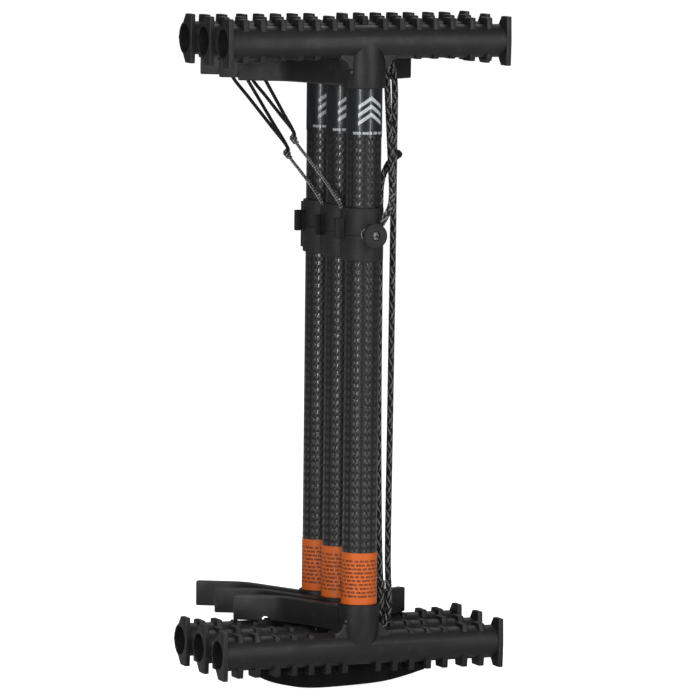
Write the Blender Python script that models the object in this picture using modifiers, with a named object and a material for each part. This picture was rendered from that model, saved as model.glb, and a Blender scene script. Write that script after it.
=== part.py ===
"""A nested pack of three double-step climbing sticks, in metres, +Z up.

Each stick is a carbon tube between two moulded T steps. The bars run along X, the standoff arms point
towards the tree along +Y, and the front stick is at -Y. The pack stands on the crowns of its lower
end flanges, and the origin is under the middle of its bounding box.
"""

import math

import bmesh
import bpy
from mathutils import Matrix, Vector

# Driving sizes
STEP_SPACING = 0.4972
NEST_PITCH = 0.043
TUBE_OD = 0.0286
TUBE_WALL = 0.0020
STEP_WIDTH = 0.2480
CLEARANCE = 0.0003

# Step moulding
BAR_OD = 0.0272
BAR_BORE = 0.0235
BORE_FLOOR = 0.0024
FLANGE_THICKNESS = 0.0042
FLANGE_HEIGHT = 0.0404
FLANGE_DEPTH = 0.0291
CROWN_FRONT = -0.0137
CROWN_BACK = -0.0017
TOOTH_WIDTH = 0.0050
TOOTH_DEPTH = 0.0145
TOOTH_SLOPE = 0.0016
TOOTH_OFFSET = -0.0008
TOOTH_INSET = 0.0172
TOOTH_PITCH = 0.0149
TOOTH_JUMP = 0.0176
OUTER_TOOTH_TOP = 0.0192
TALL_TOOTH_TOP = 0.0163
SHORT_TOOTH_TOP = 0.0141
OUTER_PAIR = 2
OUTBOARD_TEETH = 7
INBOARD_TEETH = 5
SOCKET_OD = 0.0340
SOCKET_REACH = 0.0372
SOCKET_FILLET = 0.0080
SOCKET_TAPER_START = 0.0030
FILLET_DEPTH = 0.0180
FILLET_LAND = 0.0004
FILLET_LAP = 0.0010
TOOTH_ROOT = BAR_OD / 4

# Standoff arms
ARM_THICKNESS = 0.0080
ARM_HEIGHT = 0.0206
ARM_TOP = 0.0148
ARM_ROOT = (0.0120, 0.0040)
ARM_KNEE = (0.0410, 0.0690)
ARM_TIP = (0.0755, 0.0880)
ARM_KNEE_ROUNDING = 0.0100
ARM_WEB_REACH = 0.0095
ARM_WEB_TOP = 0.0060
NOTCH_RADIUS = 0.0037
NOTCH_FROM_KNEE = 0.0125

# Collar, button and cleat
COLLAR_HEIGHT = 0.0433
COLLAR_WALL = 0.0021
COLLAR_LIFT = 0.0925
BLOCK_WIDTH = 0.0260
BLOCK_REACH = 0.0175
BLOCK_HEIGHT = 0.0380
BUTTON_OD = 0.0204
BUTTON_THICKNESS = 0.0044
BUTTON_NECK_OD = 0.0110
BUTTON_NECK = 0.0064
BUTTON_FACE = 0.0280
BOSS_OD = 0.0150
SCREW_OD = 0.0040
SCREW_HEAD_OD = 0.0072
SCREW_HEAD = 0.0022
SCREW_HEX = 0.0030
CLEAT_HEIGHT = 0.0170
CLEAT_WIDTH = 0.0046
CLEAT_REACH = 0.0250
CLEAT_HEAD = 0.0042
CLEAT_WEB = 0.0026
CLEAT_SEAT = 0.0156
CLEAT_LIFT = 0.0045

# Pins and labels
PIN_OD = 0.0032
PIN_TURN = math.radians(62)
PIN_DEPTH = 0.0128
PIN_LIFT = 0.0135
LABEL_GAP = 0.0001
LABEL_THICKNESS = 0.0003
UPPER_LABEL_HEIGHT = 0.0395
LOWER_LABEL_HEIGHT = 0.0425

# Rope, cords and strap
ROPE_OD = 0.0058
CORD_OD = 0.0030
LOOP_OD = 0.0033
STRAP_THICKNESS = 0.0024
STRAP_WIDTH = 0.0250
STRAP_HALF_SPAN = 0.0800
STRAP_RISE = 0.0180
STRAP_FLOOR_GAP = 0.0008
# Knots, as widths, depths and heights in diameters of their cord
ROPE_KNOT_SIZE = (1.35, 1.35, 1.75)
CORD_KNOT_SIZE = (2.2, 2.2, 3.8)

ROUND_SIDES = 20
BAR_SIDES = 12
SMALL_SIDES = 16
KNOT_SIDES = 12
PIN_SIDES = 8
RING_SIDES = 6
WELD = 1e-6
HALF_SPACING = STEP_SPACING / 2
BASE = FLANGE_HEIGHT / 2
MIDDLE = BASE + HALF_SPACING
BUTTON_BACK = BUTTON_FACE - BUTTON_THICKNESS
BOSS_FACE = BUTTON_BACK - BUTTON_NECK
TUBE_R = TUBE_OD / 2
TIP_ANGLE = math.atan2(ARM_TIP[1] - ARM_KNEE[1], ARM_TIP[0] - ARM_KNEE[0])
FRONT_MOST = -NEST_PITCH - BUTTON_FACE
BACK_MOST = NEST_PITCH + ARM_TIP[1] + ARM_THICKNESS / 2 * math.cos(TIP_ANGLE)
PACK_Y = -(FRONT_MOST + BACK_MOST) / 2
STICKS = {
    "front": PACK_Y - NEST_PITCH,
    "middle": PACK_Y,
    "rear": PACK_Y + NEST_PITCH,
}

MATERIALS = {
    "carbon": ((0.020, 0.020, 0.022), 0.32, 0.0),
    "moulding": ((0.018, 0.018, 0.019), 0.50, 0.0),
    "rubber": ((0.012, 0.012, 0.012), 0.75, 0.0),
    "steel": ((0.36, 0.36, 0.37), 0.35, 1.0),
    "dark_label": ((0.016, 0.020, 0.026), 0.40, 0.0),
    "orange_label": ((0.80, 0.16, 0.01), 0.45, 0.0),
    "rope": ((0.020, 0.020, 0.020), 0.85, 0.0),
    "cord": ((0.030, 0.030, 0.030), 0.85, 0.0),
    "webbing": ((0.008, 0.008, 0.008), 0.90, 0.0),
}


def clear_scene():
    for obj in list(bpy.data.objects):
        bpy.data.objects.remove(obj, do_unlink=True)


def new_collection(name, hidden=False):
    collection = bpy.data.collections.new(name)
    bpy.context.scene.collection.children.link(collection)
    collection.hide_render = hidden
    return collection


def make_materials():
    made = {}
    for name, (colour, roughness, metallic) in MATERIALS.items():
        material = bpy.data.materials.new(name)
        material.use_nodes = True
        shader = material.node_tree.nodes["Principled BSDF"]
        shader.inputs["Base Color"].default_value = (*colour, 1.0)
        shader.inputs["Roughness"].default_value = roughness
        shader.inputs["Metallic"].default_value = metallic
        made[name] = material
    return made


def object_of(mesh, name, collection):
    obj = bpy.data.objects.new(name, mesh)
    collection.objects.link(obj)
    return obj


def mesh_of(name, build):
    """A mesh made by a function that fills a bmesh."""
    mesh = bpy.data.meshes.new(name)
    shape = bmesh.new()
    build(shape)
    shape.to_mesh(mesh)
    shape.free()
    return mesh


def cylinder(name, radius, low, high, axis="Z", sides=ROUND_SIDES):
    """A cylinder along an axis, between two places on it."""
    turns = {
        "X": Matrix.Rotation(math.pi / 2, 4, "Y"),
        "Y": Matrix.Rotation(-math.pi / 2, 4, "X"),
        "Z": Matrix.Identity(4),
    }
    place = turns[axis] @ Matrix.Translation((0, 0, (low + high) / 2))

    def build(shape):
        bmesh.ops.create_cone(
            shape,
            cap_ends=True,
            segments=sides,
            radius1=radius,
            radius2=radius,
            depth=high - low,
            matrix=place,
        )

    return mesh_of(name, build)


def box(name, low, high):
    def build(shape):
        size = [b - a for a, b in zip(low, high)]
        middle = [(a + b) / 2 for a, b in zip(low, high)]
        place = Matrix.Translation(middle) @ Matrix.Diagonal((*size, 1.0))
        bmesh.ops.create_cube(shape, size=1.0, matrix=place)

    return mesh_of(name, build)


def turned(name, profile, sides=ROUND_SIDES):
    """A closed (radius, height) outline turned about Z into a mesh."""
    outline = bpy.data.meshes.new(name)
    count = len(profile)
    edges = [(i, (i + 1) % count) for i in range(count)]
    outline.from_pydata([(r, 0, z) for r, z in profile], edges, [])
    obj = object_of(outline, name, bpy.context.scene.collection)
    screw = obj.modifiers.new("turn", "SCREW")
    screw.steps = sides
    screw.render_steps = sides
    screw.use_merge_vertices = True
    screw.merge_threshold = 10 * WELD
    return welded(applied(obj))


def extruded(name, outline, low, high, plane="XY"):
    """A flat closed outline, filled and extruded between two places on the axis normal to its plane."""
    curve = bpy.data.curves.new(name, "CURVE")
    curve.dimensions = "2D"
    curve.fill_mode = "BOTH"
    curve.extrude = (high - low) / 2
    spline = curve.splines.new("POLY")
    spline.points.add(len(outline) - 1)
    for point, (u, v) in zip(spline.points, outline):
        point.co = (u, v, 0, 1)
    spline.use_cyclic_u = True
    obj = bpy.data.objects.new(name, curve)
    bpy.context.scene.collection.objects.link(obj)
    turns = {
        "XY": Matrix.Identity(4),
        "YZ": Matrix(((0, 0, 1, 0), (1, 0, 0, 0), (0, 1, 0, 0), (0, 0, 0, 1))),
        "XZ": Matrix(((1, 0, 0, 0), (0, 0, -1, 0), (0, 1, 0, 0), (0, 0, 0, 1))),
    }
    shift = -(low + high) / 2 if plane == "XZ" else (low + high) / 2
    mesh = applied(obj)
    mesh.transform(turns[plane] @ Matrix.Translation((0, 0, shift)))
    return welded(mesh)


def welded(mesh):
    """The mesh with its seams closed and its faces pointing out."""
    shape = bmesh.new()
    shape.from_mesh(mesh)
    bmesh.ops.remove_doubles(shape, verts=shape.verts, dist=WELD)
    bmesh.ops.recalc_face_normals(shape, faces=shape.faces)
    shape.to_mesh(mesh)
    shape.free()
    return mesh


def applied(obj):
    """The evaluated mesh of an object, which is then removed."""
    bpy.context.view_layer.update()
    graph = bpy.context.evaluated_depsgraph_get()
    mesh = bpy.data.meshes.new_from_object(obj.evaluated_get(graph))
    mesh.name = obj.name
    bpy.data.objects.remove(obj, do_unlink=True)
    return mesh


def combined(name, base, joined=(), cut=()):
    """One mesh: the base with some meshes joined to it and others then cut from it."""
    obj = object_of(base, name, bpy.context.scene.collection)
    helpers = []
    for operation, meshes in (("UNION", joined), ("DIFFERENCE", cut)):
        for number, mesh in enumerate(meshes):
            helper = object_of(mesh, f"{name}_{operation.lower()}_{number}", CUTTERS)
            helper.hide_render = True
            helper.display_type = "WIRE"
            helpers.append(helper)
            boolean = obj.modifiers.new(helper.name, "BOOLEAN")
            boolean.operation = operation
            boolean.object = helper
    mesh = applied(obj)
    for helper in helpers:
        bpy.data.objects.remove(helper, do_unlink=True)
    return mesh


def mirrored(mesh, axis):
    """A copy of a mesh mirrored in the plane normal to an axis, with its faces still pointing out."""
    copy = mesh.copy()
    scale = [1.0, 1.0, 1.0]
    scale["XYZ".index(axis)] = -1.0
    copy.transform(Matrix.Diagonal((*scale, 1.0)))
    copy.flip_normals()
    return copy


def rounded_bend(start, corner, end, radius, steps=4):
    """Points of a path from start to end, with an arc of a quadratic curve in place of the corner."""
    start, corner, end = Vector(start), Vector(corner), Vector(end)
    before = corner + (start - corner).normalized() * radius
    after = corner + (end - corner).normalized() * radius
    points = [start]
    for i in range(steps + 1):
        t = i / steps
        points.append(before * (1 - t) ** 2 + corner * 2 * t * (1 - t) + after * t**2)
    points.append(end)
    return points


def strip_outline(path, width):
    """The closed outline of a strip of one width along a flat path."""
    left = []
    right = []
    for i, point in enumerate(path):
        ahead = path[min(i + 1, len(path) - 1)] - path[max(i - 1, 0)]
        side = Vector((-ahead.y, ahead.x)).normalized() * width / 2
        left.append(tuple(point + side))
        right.append(tuple(point - side))
    return left + right[::-1]


def smooth_route(points, steps):
    """Points on a smooth curve through the route's own points."""
    ends = [points[0] * 2 - points[1], *points, points[-1] * 2 - points[-2]]
    route = []
    for before, start, end, after in zip(ends, ends[1:], ends[2:], ends[3:]):
        for i in range(steps):
            t = i / steps
            bend = (2 * before - 5 * start + 4 * end - after) * t**2
            swing = (3 * start - before - 3 * end + after) * t**3
            route.append((2 * start + (end - before) * t + bend + swing) / 2)
    route.append(points[-1])
    return route


def tube(name, points, diameter, steps, resolution=2):
    curve = bpy.data.curves.new(name, "CURVE")
    curve.dimensions = "3D"
    curve.bevel_depth = diameter / 2
    curve.bevel_resolution = resolution
    curve.use_fill_caps = True
    route = smooth_route([Vector(p) for p in points], steps)
    spline = curve.splines.new("POLY")
    spline.points.add(len(route) - 1)
    for point, place in zip(spline.points, route):
        point.co = (*place, 1)
    obj = bpy.data.objects.new(name, curve)
    bpy.context.scene.collection.objects.link(obj)
    return welded(applied(obj))


def ring(name, radius, thickness):
    """A torus about Y, made from a round profile."""
    half = thickness / 2
    profile = []
    for i in range(RING_SIDES):
        turn = math.tau * i / RING_SIDES
        profile.append((radius + half * math.cos(turn), half * math.sin(turn)))
    mesh = turned(name, profile, SMALL_SIDES)
    mesh.transform(Matrix.Rotation(math.pi / 2, 4, "X"))
    return mesh


def knot_mesh(diameter, size):
    """A plain lump for a knot, sized in diameters of its cord."""
    spread = Matrix.Diagonal((*(value * diameter for value in size), 1.0))

    def build(shape):
        bmesh.ops.create_uvsphere(
            shape, u_segments=KNOT_SIDES, v_segments=PIN_SIDES, radius=0.5, matrix=spread
        )

    return mesh_of("knot", build)


def tooth_places(count):
    """Distances from the middle of the bar, outermost first: a pair, a wider step, then the rest."""
    outermost = STEP_WIDTH / 2 - TOOTH_INSET
    places = []
    for number in range(count):
        jump = TOOTH_JUMP - TOOTH_PITCH if number >= OUTER_PAIR else 0
        places.append(outermost - number * TOOTH_PITCH - jump)
    return places


def tooth(place, top, side):
    """One rib across the bar: a trapezium in YZ. Side is +1 outboard and -1 inboard."""
    half = TOOTH_DEPTH / 2
    outline = [
        (TOOTH_OFFSET - half - TOOTH_SLOPE, side * TOOTH_ROOT),
        (TOOTH_OFFSET - half, side * top),
        (TOOTH_OFFSET + half, side * top),
        (TOOTH_OFFSET + half + TOOTH_SLOPE, side * TOOTH_ROOT),
    ]
    return extruded("tooth", outline, place - TOOTH_WIDTH / 2, place + TOOTH_WIDTH / 2, "YZ")


def end_flange(side):
    """A six-sided plate at a bar end. Its front edge is steep, and its crowns lie towards the front."""
    outline = [
        (CROWN_FRONT, FLANGE_HEIGHT / 2),
        (-FLANGE_DEPTH / 2, 0),
        (CROWN_FRONT, -FLANGE_HEIGHT / 2),
        (CROWN_BACK, -FLANGE_HEIGHT / 2),
        (FLANGE_DEPTH / 2, 0),
        (CROWN_BACK, FLANGE_HEIGHT / 2),
    ]
    outer = side * STEP_WIDTH / 2
    inner = side * (STEP_WIDTH / 2 - FLANGE_THICKNESS)
    return extruded("flange", outline, min(outer, inner), max(outer, inner), "YZ")


def arm():
    """The right arm of an upper step, as a band that hangs below the bar's axis."""
    path = rounded_bend(ARM_ROOT, ARM_KNEE, ARM_TIP, ARM_KNEE_ROUNDING)
    outline = strip_outline(path, ARM_THICKNESS)
    return extruded("arm", outline, -ARM_TOP - ARM_HEIGHT, -ARM_TOP)


def arm_web():
    """The deeper root of an arm, which carries it onto the bar."""
    root = Vector(ARM_ROOT)
    ahead = (Vector(ARM_KNEE) - root).normalized()
    outline = strip_outline([root, root + ahead * ARM_WEB_REACH], ARM_THICKNESS - CLEARANCE)
    return extruded("arm_web", outline, -ARM_TOP - ARM_HEIGHT / 2, -ARM_WEB_TOP)


def socket_body():
    """The socket's outside: a cylinder that tapers to the bar's own width at its axis."""
    radius = SOCKET_OD / 2
    shoulder = -BAR_OD / 2 - SOCKET_TAPER_START
    profile = [
        (0, 0),
        (BAR_OD / 2 - CLEARANCE, 0),
        (radius, shoulder),
        (radius, -SOCKET_REACH),
        (0, -SOCKET_REACH),
    ]
    return turned("socket", profile)


def socket_fillets():
    """The hollow curves between the socket and the bar, as one plate in XZ."""
    socket = SOCKET_OD / 2
    skirt = BAR_OD / 2
    steps = 4
    end = socket + SOCKET_FILLET
    right = [(end, -skirt / 2), (end, -skirt + FILLET_LAND)]
    for i in range(1, steps):
        turn = math.pi / 2 * i / steps
        across = end - SOCKET_FILLET * math.sin(turn)
        down = skirt + SOCKET_FILLET * (1 - math.cos(turn))
        right.append((across, -down))
    right.append((socket - FILLET_LAP, -skirt - SOCKET_FILLET))
    left = [(-x, z) for x, z in reversed(right)]
    return extruded("fillets", right + left, -FILLET_DEPTH / 2, FILLET_DEPTH / 2, "XZ")


def arm_notch():
    """A cutter for the cord notch in the bar-side edge of the right arm."""
    knee = Vector(ARM_KNEE)
    ahead = (Vector(ARM_TIP) - knee).normalized()
    spot = knee + ahead * NOTCH_FROM_KNEE
    mesh = cylinder("notch", NOTCH_RADIUS, -ARM_THICKNESS, ARM_THICKNESS, "Y", sides=PIN_SIDES)
    turn = Matrix.Rotation(math.atan2(ahead.y, ahead.x), 4, "Z")
    mesh.transform(Matrix.Translation((spot.x, spot.y, -ARM_TOP)) @ turn)
    return mesh


def pin_direction():
    return Vector((-math.sin(PIN_TURN), -math.cos(PIN_TURN), 0))


def pin_mesh(name, radius, low, high):
    """A round pin or hole along the pin's line, between two distances from the tube's axis."""
    mesh = cylinder(name, radius, low, high, sides=PIN_SIDES)
    turn = Vector((0, 0, 1)).rotation_difference(pin_direction()).to_matrix().to_4x4()
    mesh.transform(turn)
    return mesh


def step_mesh():
    """An upper step about its bar's axis. The socket and the arms are on its -Z side."""
    half = STEP_WIDTH / 2 - CLEARANCE
    bar = cylinder("bar", BAR_OD / 2, -half, half, axis="X", sides=BAR_SIDES)
    joined = [end_flange(1), end_flange(-1)]
    for place in tooth_places(OUTBOARD_TEETH):
        joined.append(tooth(place, OUTER_TOOTH_TOP, 1))
        joined.append(tooth(-place, OUTER_TOOTH_TOP, 1))
    for number, place in enumerate(tooth_places(INBOARD_TEETH)):
        top = TALL_TOOTH_TOP if number < OUTER_PAIR else SHORT_TOOTH_TOP
        joined.append(tooth(place, top, -1))
        joined.append(tooth(-place, top, -1))
    joined.append(socket_body())
    joined.append(socket_fillets())
    for piece in (arm(), arm_web()):
        joined.append(piece)
        joined.append(mirrored(piece, "X"))
    bore = TUBE_R + CLEARANCE
    tube_end = BAR_BORE / 2 + BORE_FLOOR
    hole = pin_mesh("pin_hole", PIN_OD / 2 + CLEARANCE, 0, SOCKET_OD)
    hole.transform(Matrix.Translation((0, 0, PIN_LIFT - SOCKET_REACH)))
    notch = arm_notch()
    cut = [
        cylinder("bar_bore", BAR_BORE / 2, -STEP_WIDTH, STEP_WIDTH, axis="X", sides=BAR_SIDES),
        cylinder("tube_bore", bore, -SOCKET_REACH - SOCKET_OD, -tube_end),
        hole,
        notch,
        mirrored(notch, "X"),
    ]
    mesh = combined("step", bar, joined, cut)
    smooth(mesh)
    return mesh


def smooth(mesh):
    mesh.shade_smooth()
    mesh.set_sharp_from_angle(angle=math.radians(35))


def tube_mesh():
    """The carbon tube about the stick's axis, with a pin hole near each end."""
    end = HALF_SPACING - BAR_BORE / 2 - BORE_FLOOR - CLEARANCE
    outer = TUBE_R
    inner = TUBE_R - TUBE_WALL
    mesh = turned("tube", [(outer, end), (outer, -end), (inner, -end), (inner, end)])
    holes = []
    for side in (1, -1):
        hole = pin_mesh("pin_hole", PIN_OD / 2 + CLEARANCE, TUBE_WALL, SOCKET_OD)
        hole.transform(Matrix.Translation((0, 0, side * pin_height())))
        holes.append(hole)
    return combined("tube", mesh, cut=holes)


def pin_height():
    """How far each socket pin is from the middle of the stick."""
    return HALF_SPACING - SOCKET_REACH + PIN_LIFT


def label_mesh(height):
    inner = TUBE_R + LABEL_GAP
    outer = inner + LABEL_THICKNESS
    half = height / 2
    return turned("label", [(outer, half), (outer, -half), (inner, -half), (inner, half)])


def collar_mesh():
    """The sleeve that carries the button. A window in its back takes the next stick's button."""
    inner = TUBE_R + CLEARANCE
    outer = inner + COLLAR_WALL
    half = COLLAR_HEIGHT / 2
    sleeve = cylinder("collar", outer, -half, half)
    boss = cylinder("boss", BOSS_OD / 2, -BOSS_FACE, 0, axis="Y", sides=SMALL_SIDES)
    low = (-BLOCK_WIDTH / 2, 0, -BLOCK_HEIGHT / 2)
    high = (BLOCK_WIDTH / 2, BLOCK_REACH, BLOCK_HEIGHT / 2)
    block = box("block", low, high)
    reach = 2 * NEST_PITCH
    window = BUTTON_OD / 2 + 2 * CLEARANCE
    seat_low = (-CLEAT_REACH - CLEARANCE, -CLEAT_WEB / 2 - CLEARANCE, cleat_span()[0] - CLEARANCE)
    seat_high = (-CLEAT_SEAT + CLEARANCE, CLEAT_WEB / 2 + CLEARANCE, cleat_span()[1] + CLEARANCE)
    cut = [
        cylinder("tube_bore", inner, -COLLAR_HEIGHT, COLLAR_HEIGHT),
        cylinder("window", window, 0, reach, axis="Y", sides=SMALL_SIDES),
        cylinder("screw_hole", SCREW_OD / 2 + CLEARANCE, -reach, 0, axis="Y", sides=PIN_SIDES),
        box("seat", seat_low, seat_high),
    ]
    mesh = combined("collar", sleeve, [boss, block], cut)
    smooth(mesh)
    return mesh


def cleat_span():
    middle = CLEAT_LIFT
    return middle - CLEAT_HEIGHT / 2, middle + CLEAT_HEIGHT / 2


def cleat_mesh():
    """A soft bar that stands off the collar's side on a thinner web."""
    low, high = cleat_span()
    seat = CLEAT_SEAT + CLEARANCE
    half = CLEAT_WIDTH / 2
    web = CLEAT_WEB / 2
    nose = CLEAT_WIDTH / 4
    back = CLEAT_HEAD - CLEAT_REACH
    outline = [
        (-seat, -web),
        (-seat, web),
        (back, web),
        (back, half),
        (-CLEAT_REACH + nose, half),
        (-CLEAT_REACH, half - nose),
        (-CLEAT_REACH, -half + nose),
        (-CLEAT_REACH + nose, -half),
        (back, -half),
        (back, -web),
    ]
    return extruded("cleat", outline, low, high)


def button_mesh():
    """The round button and its neck about -Y, with a counterbored hole for its screw."""
    edge = BUTTON_THICKNESS / 4
    disc = BUTTON_OD / 2
    neck = BUTTON_NECK_OD / 2
    hole = SCREW_OD / 2 + CLEARANCE
    head = SCREW_HEAD_OD / 2 + CLEARANCE
    low = BOSS_FACE + CLEARANCE
    floor = BUTTON_FACE - SCREW_HEAD - 2 * CLEARANCE
    profile = [
        (head, BUTTON_FACE),
        (disc - edge, BUTTON_FACE),
        (disc, BUTTON_FACE - edge),
        (disc, BUTTON_BACK + edge),
        (disc - edge, BUTTON_BACK),
        (neck, BUTTON_BACK),
        (neck, low),
        (hole, low),
        (hole, floor),
        (head, floor),
    ]
    mesh = turned("button", profile, SMALL_SIDES)
    mesh.transform(Matrix.Rotation(math.pi / 2, 4, "X"))
    smooth(mesh)
    return mesh


def screw_mesh():
    """The button's screw: a low head with a hexagon socket, and a shank into the collar's boss."""
    tip = TUBE_R + CLEARANCE * 2
    face = BUTTON_FACE - CLEARANCE
    under = face - SCREW_HEAD
    head = cylinder("head", SCREW_HEAD_OD / 2, -face, -under, axis="Y", sides=SMALL_SIDES)
    shank = cylinder("shank", SCREW_OD / 2, -under - SCREW_HEAD / 2, -tip, "Y", sides=PIN_SIDES)
    floor = -under - 2 * CLEARANCE
    key = cylinder("hex", SCREW_HEX / math.sqrt(3), -face - SCREW_HEAD, floor, "Y", sides=6)
    mesh = combined("screw", head, [shank], [key])
    smooth(mesh)
    return mesh


# Routes in the pack's frame before it is centred: X, Y, and Z from the middle of the sticks, in mm.
# The rope is wound twice round the right arms of the front stick, in the gap behind its own bars.
ROPE_ROUTE = (
    (8.0, -63.4, 102.0), (13.5, -60.0, 108.5), (20.5, -52.0, 116.0), (27.0, -39.0, 127.0),
    (30.0, -29.0, 146.0), (29.8, -25.5, 175.0), (28.2, -24.8, 205.0), (27.2, -24.8, 224.0),
    (26.8, -24.8, 232.0), (24.0, -24.8, 238.4), (18.2, -24.8, 240.8), (12.2, -24.8, 238.2),
    (9.9, -24.8, 231.0), (9.8, -24.7, 215.0), (14.5, -24.7, 150.0), (16.8, -24.7, 105.0),
    (14.5, -24.7, 45.0), (12.0, -24.7, -60.0), (10.0, -24.7, -160.0), (9.8, -24.7, -215.0),
    (10.2, -24.7, -230.0), (12.4, -24.7, -237.0), (17.6, -24.7, -240.0), (24.0, -24.7, -239.0),
    (30.5, -24.5, -233.5), (34.6, -22.9, -222.0), (35.4, -21.8, -207.0), (34.9, -20.3, -170.0),
    (35.6, -20.2, -60.0), (36.2, -20.2, 60.0), (36.4, -20.2, 160.0), (36.6, -20.0, 205.0),
    (35.2, -19.0, 223.0), (29.9, -18.3, 235.2), (21.2, -18.2, 239.4), (13.4, -18.3, 237.0),
    (10.0, -18.3, 228.0), (9.6, -18.3, 205.0), (14.5, -18.3, 150.0), (16.8, -18.3, 105.0),
    (14.5, -18.3, 45.0), (12.0, -18.3, -60.0), (10.0, -18.3, -160.0), (9.6, -18.3, -215.0),
    (10.4, -18.3, -230.0), (13.2, -18.2, -237.2), (19.6, -18.0, -240.2), (26.2, -17.9, -238.4),
    (29.8, -18.1, -232.0), (29.4, -19.0, -220.0), (29.0, -19.9, -205.0), (26.4, -21.4, -160.0),
    (24.6, -21.5, -60.0), (24.2, -21.5, 60.0), (24.4, -20.5, 112.0), (27.5, -15.5, 132.0),
    (34.5, -12.8, 146.0), (41.0, -14.6, 152.5),
)
ROPE_KNOT = (45.2, -17.6, 157.0)
# Each light cord runs from its eye to a knot. An elastic loop runs on over the left arm, in its notch.
CORD_ROUTES = {
    "middle": (
        (-5.6, -20.4, 101.0), (-10.4, -22.5, 112.0), (-20.0, -14.0, 131.0), (-30.5, 2.0, 151.0),
        (-33.6, 14.0, 159.6),
    ),
    "rear": (
        (-5.6, 22.6, 101.0), (-9.5, 20.5, 111.0), (-16.0, 26.0, 124.0), (-22.0, 38.0, 137.0),
        (-25.2, 48.0, 144.8),
    ),
}
CORD_KNOTS = {"middle": (-36.0, 20.0, 165.8), "rear": (-27.6, 55.0, 151.0)}
LOOP_ROUTES = {
    "middle": (
        (-35.5, 23.0, 172.2), (-38.8, 36.2, 185.7), (-42.1, 49.7, 199.5), (-45.4, 62.9, 213.0),
        (-50.0, 66.2, 221.5), (-53.7, 68.8, 228.4), (-54.5, 70.4, 231.3), (-53.6, 72.1, 232.0),
        (-52.0, 75.0, 232.1), (-50.3, 78.0, 232.0), (-49.4, 79.7, 231.3), (-49.0, 80.5, 229.0),
        (-49.0, 80.6, 220.0), (-49.0, 80.6, 211.5), (-44.1, 62.7, 198.4), (-39.0, 44.2, 184.9),
        (-34.1, 26.3, 171.8),
    ),
    "rear": (
        (-27.0, 58.0, 157.4), (-33.2, 73.8, 175.7), (-39.5, 90.2, 194.7), (-45.7, 106.0, 213.0),
        (-50.0, 109.2, 221.5), (-53.7, 111.8, 228.4), (-54.5, 113.4, 231.3), (-53.6, 115.1, 232.0),
        (-52.0, 118.0, 232.1), (-50.3, 121.0, 232.0), (-49.4, 122.7, 231.3), (-49.0, 123.5, 229.0),
        (-49.5, 123.9, 220.0), (-50.0, 124.2, 211.5), (-42.0, 103.4, 193.5), (-33.7, 82.0, 175.0),
        (-25.6, 61.3, 157.0),
    ),
}


def in_place(point):
    """A route's point, in metres, in the finished pack."""
    x, y, z = (value / 1000 for value in point)
    return Vector((x, y + PACK_Y, z + MIDDLE))


def strap_mesh():
    """The stowed strap on its edge between the front and middle bars: an arc that sags in the middle."""
    steps = 12
    lower = []
    upper = []
    for i in range(steps + 1):
        share = 2 * i / steps - 1
        rise = STRAP_FLOOR_GAP + STRAP_RISE * share**2
        lower.append((STRAP_HALF_SPAN * share, rise))
        upper.append((STRAP_HALF_SPAN * share, rise + STRAP_WIDTH - STRAP_RISE * share**2 / 2))
    middle = (STICKS["front"] + STICKS["middle"]) / 2
    half = STRAP_THICKNESS / 2
    return extruded("stowed_strap", lower + upper[::-1], middle - half, middle + half, "XZ")


def add_part(name, mesh, material, place=(0, 0, 0), parent=None):
    obj = object_of(mesh, name, PARTS)
    obj.location = place
    obj.parent = parent
    obj.data.materials.clear()
    obj.data.materials.append(FINISHES[material])


def add_stick(name, y, shapes):
    """One stick, with its parts under an empty at the middle of its tube."""
    frame = bpy.data.objects.new(f"{name}_stick_frame", None)
    PARTS.objects.link(frame)
    frame.location = (0, y, MIDDLE)
    label_end = HALF_SPACING - SOCKET_REACH - CLEARANCE
    heights = {
        "tube": ("carbon", 0),
        "upper_step": ("moulding", HALF_SPACING),
        "lower_step": ("moulding", -HALF_SPACING),
        "upper_label": ("dark_label", label_end - UPPER_LABEL_HEIGHT / 2),
        "lower_label": ("orange_label", -label_end + LOWER_LABEL_HEIGHT / 2),
        "collar": ("moulding", COLLAR_LIFT),
        "cleat": ("rubber", COLLAR_LIFT),
        "button": ("moulding", COLLAR_LIFT),
        "button_screw": ("steel", COLLAR_LIFT),
        "upper_socket_pin": ("steel", pin_height()),
        "lower_socket_pin": ("steel", -pin_height()),
    }
    for part, (material, height) in heights.items():
        add_part(f"{name}_{part}", shapes[part].copy(), material, (0, 0, height), frame)


def stick_shapes():
    pin = pin_mesh("pin", PIN_OD / 2, PIN_DEPTH, SOCKET_OD / 2 + CLEARANCE)
    step = step_mesh()
    return {
        "tube": tube_mesh(),
        "upper_step": step,
        "lower_step": mirrored(step, "Z"),
        "upper_label": label_mesh(UPPER_LABEL_HEIGHT),
        "lower_label": label_mesh(LOWER_LABEL_HEIGHT),
        "collar": collar_mesh(),
        "cleat": cleat_mesh(),
        "button": button_mesh(),
        "button_screw": screw_mesh(),
        "upper_socket_pin": pin,
        "lower_socket_pin": pin,
    }


def eye_place(stick):
    """The middle of the eye on a stick's button neck."""
    return (0, STICKS[stick] - (BOSS_FACE + BUTTON_BACK) / 2, MIDDLE + COLLAR_LIFT)


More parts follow.
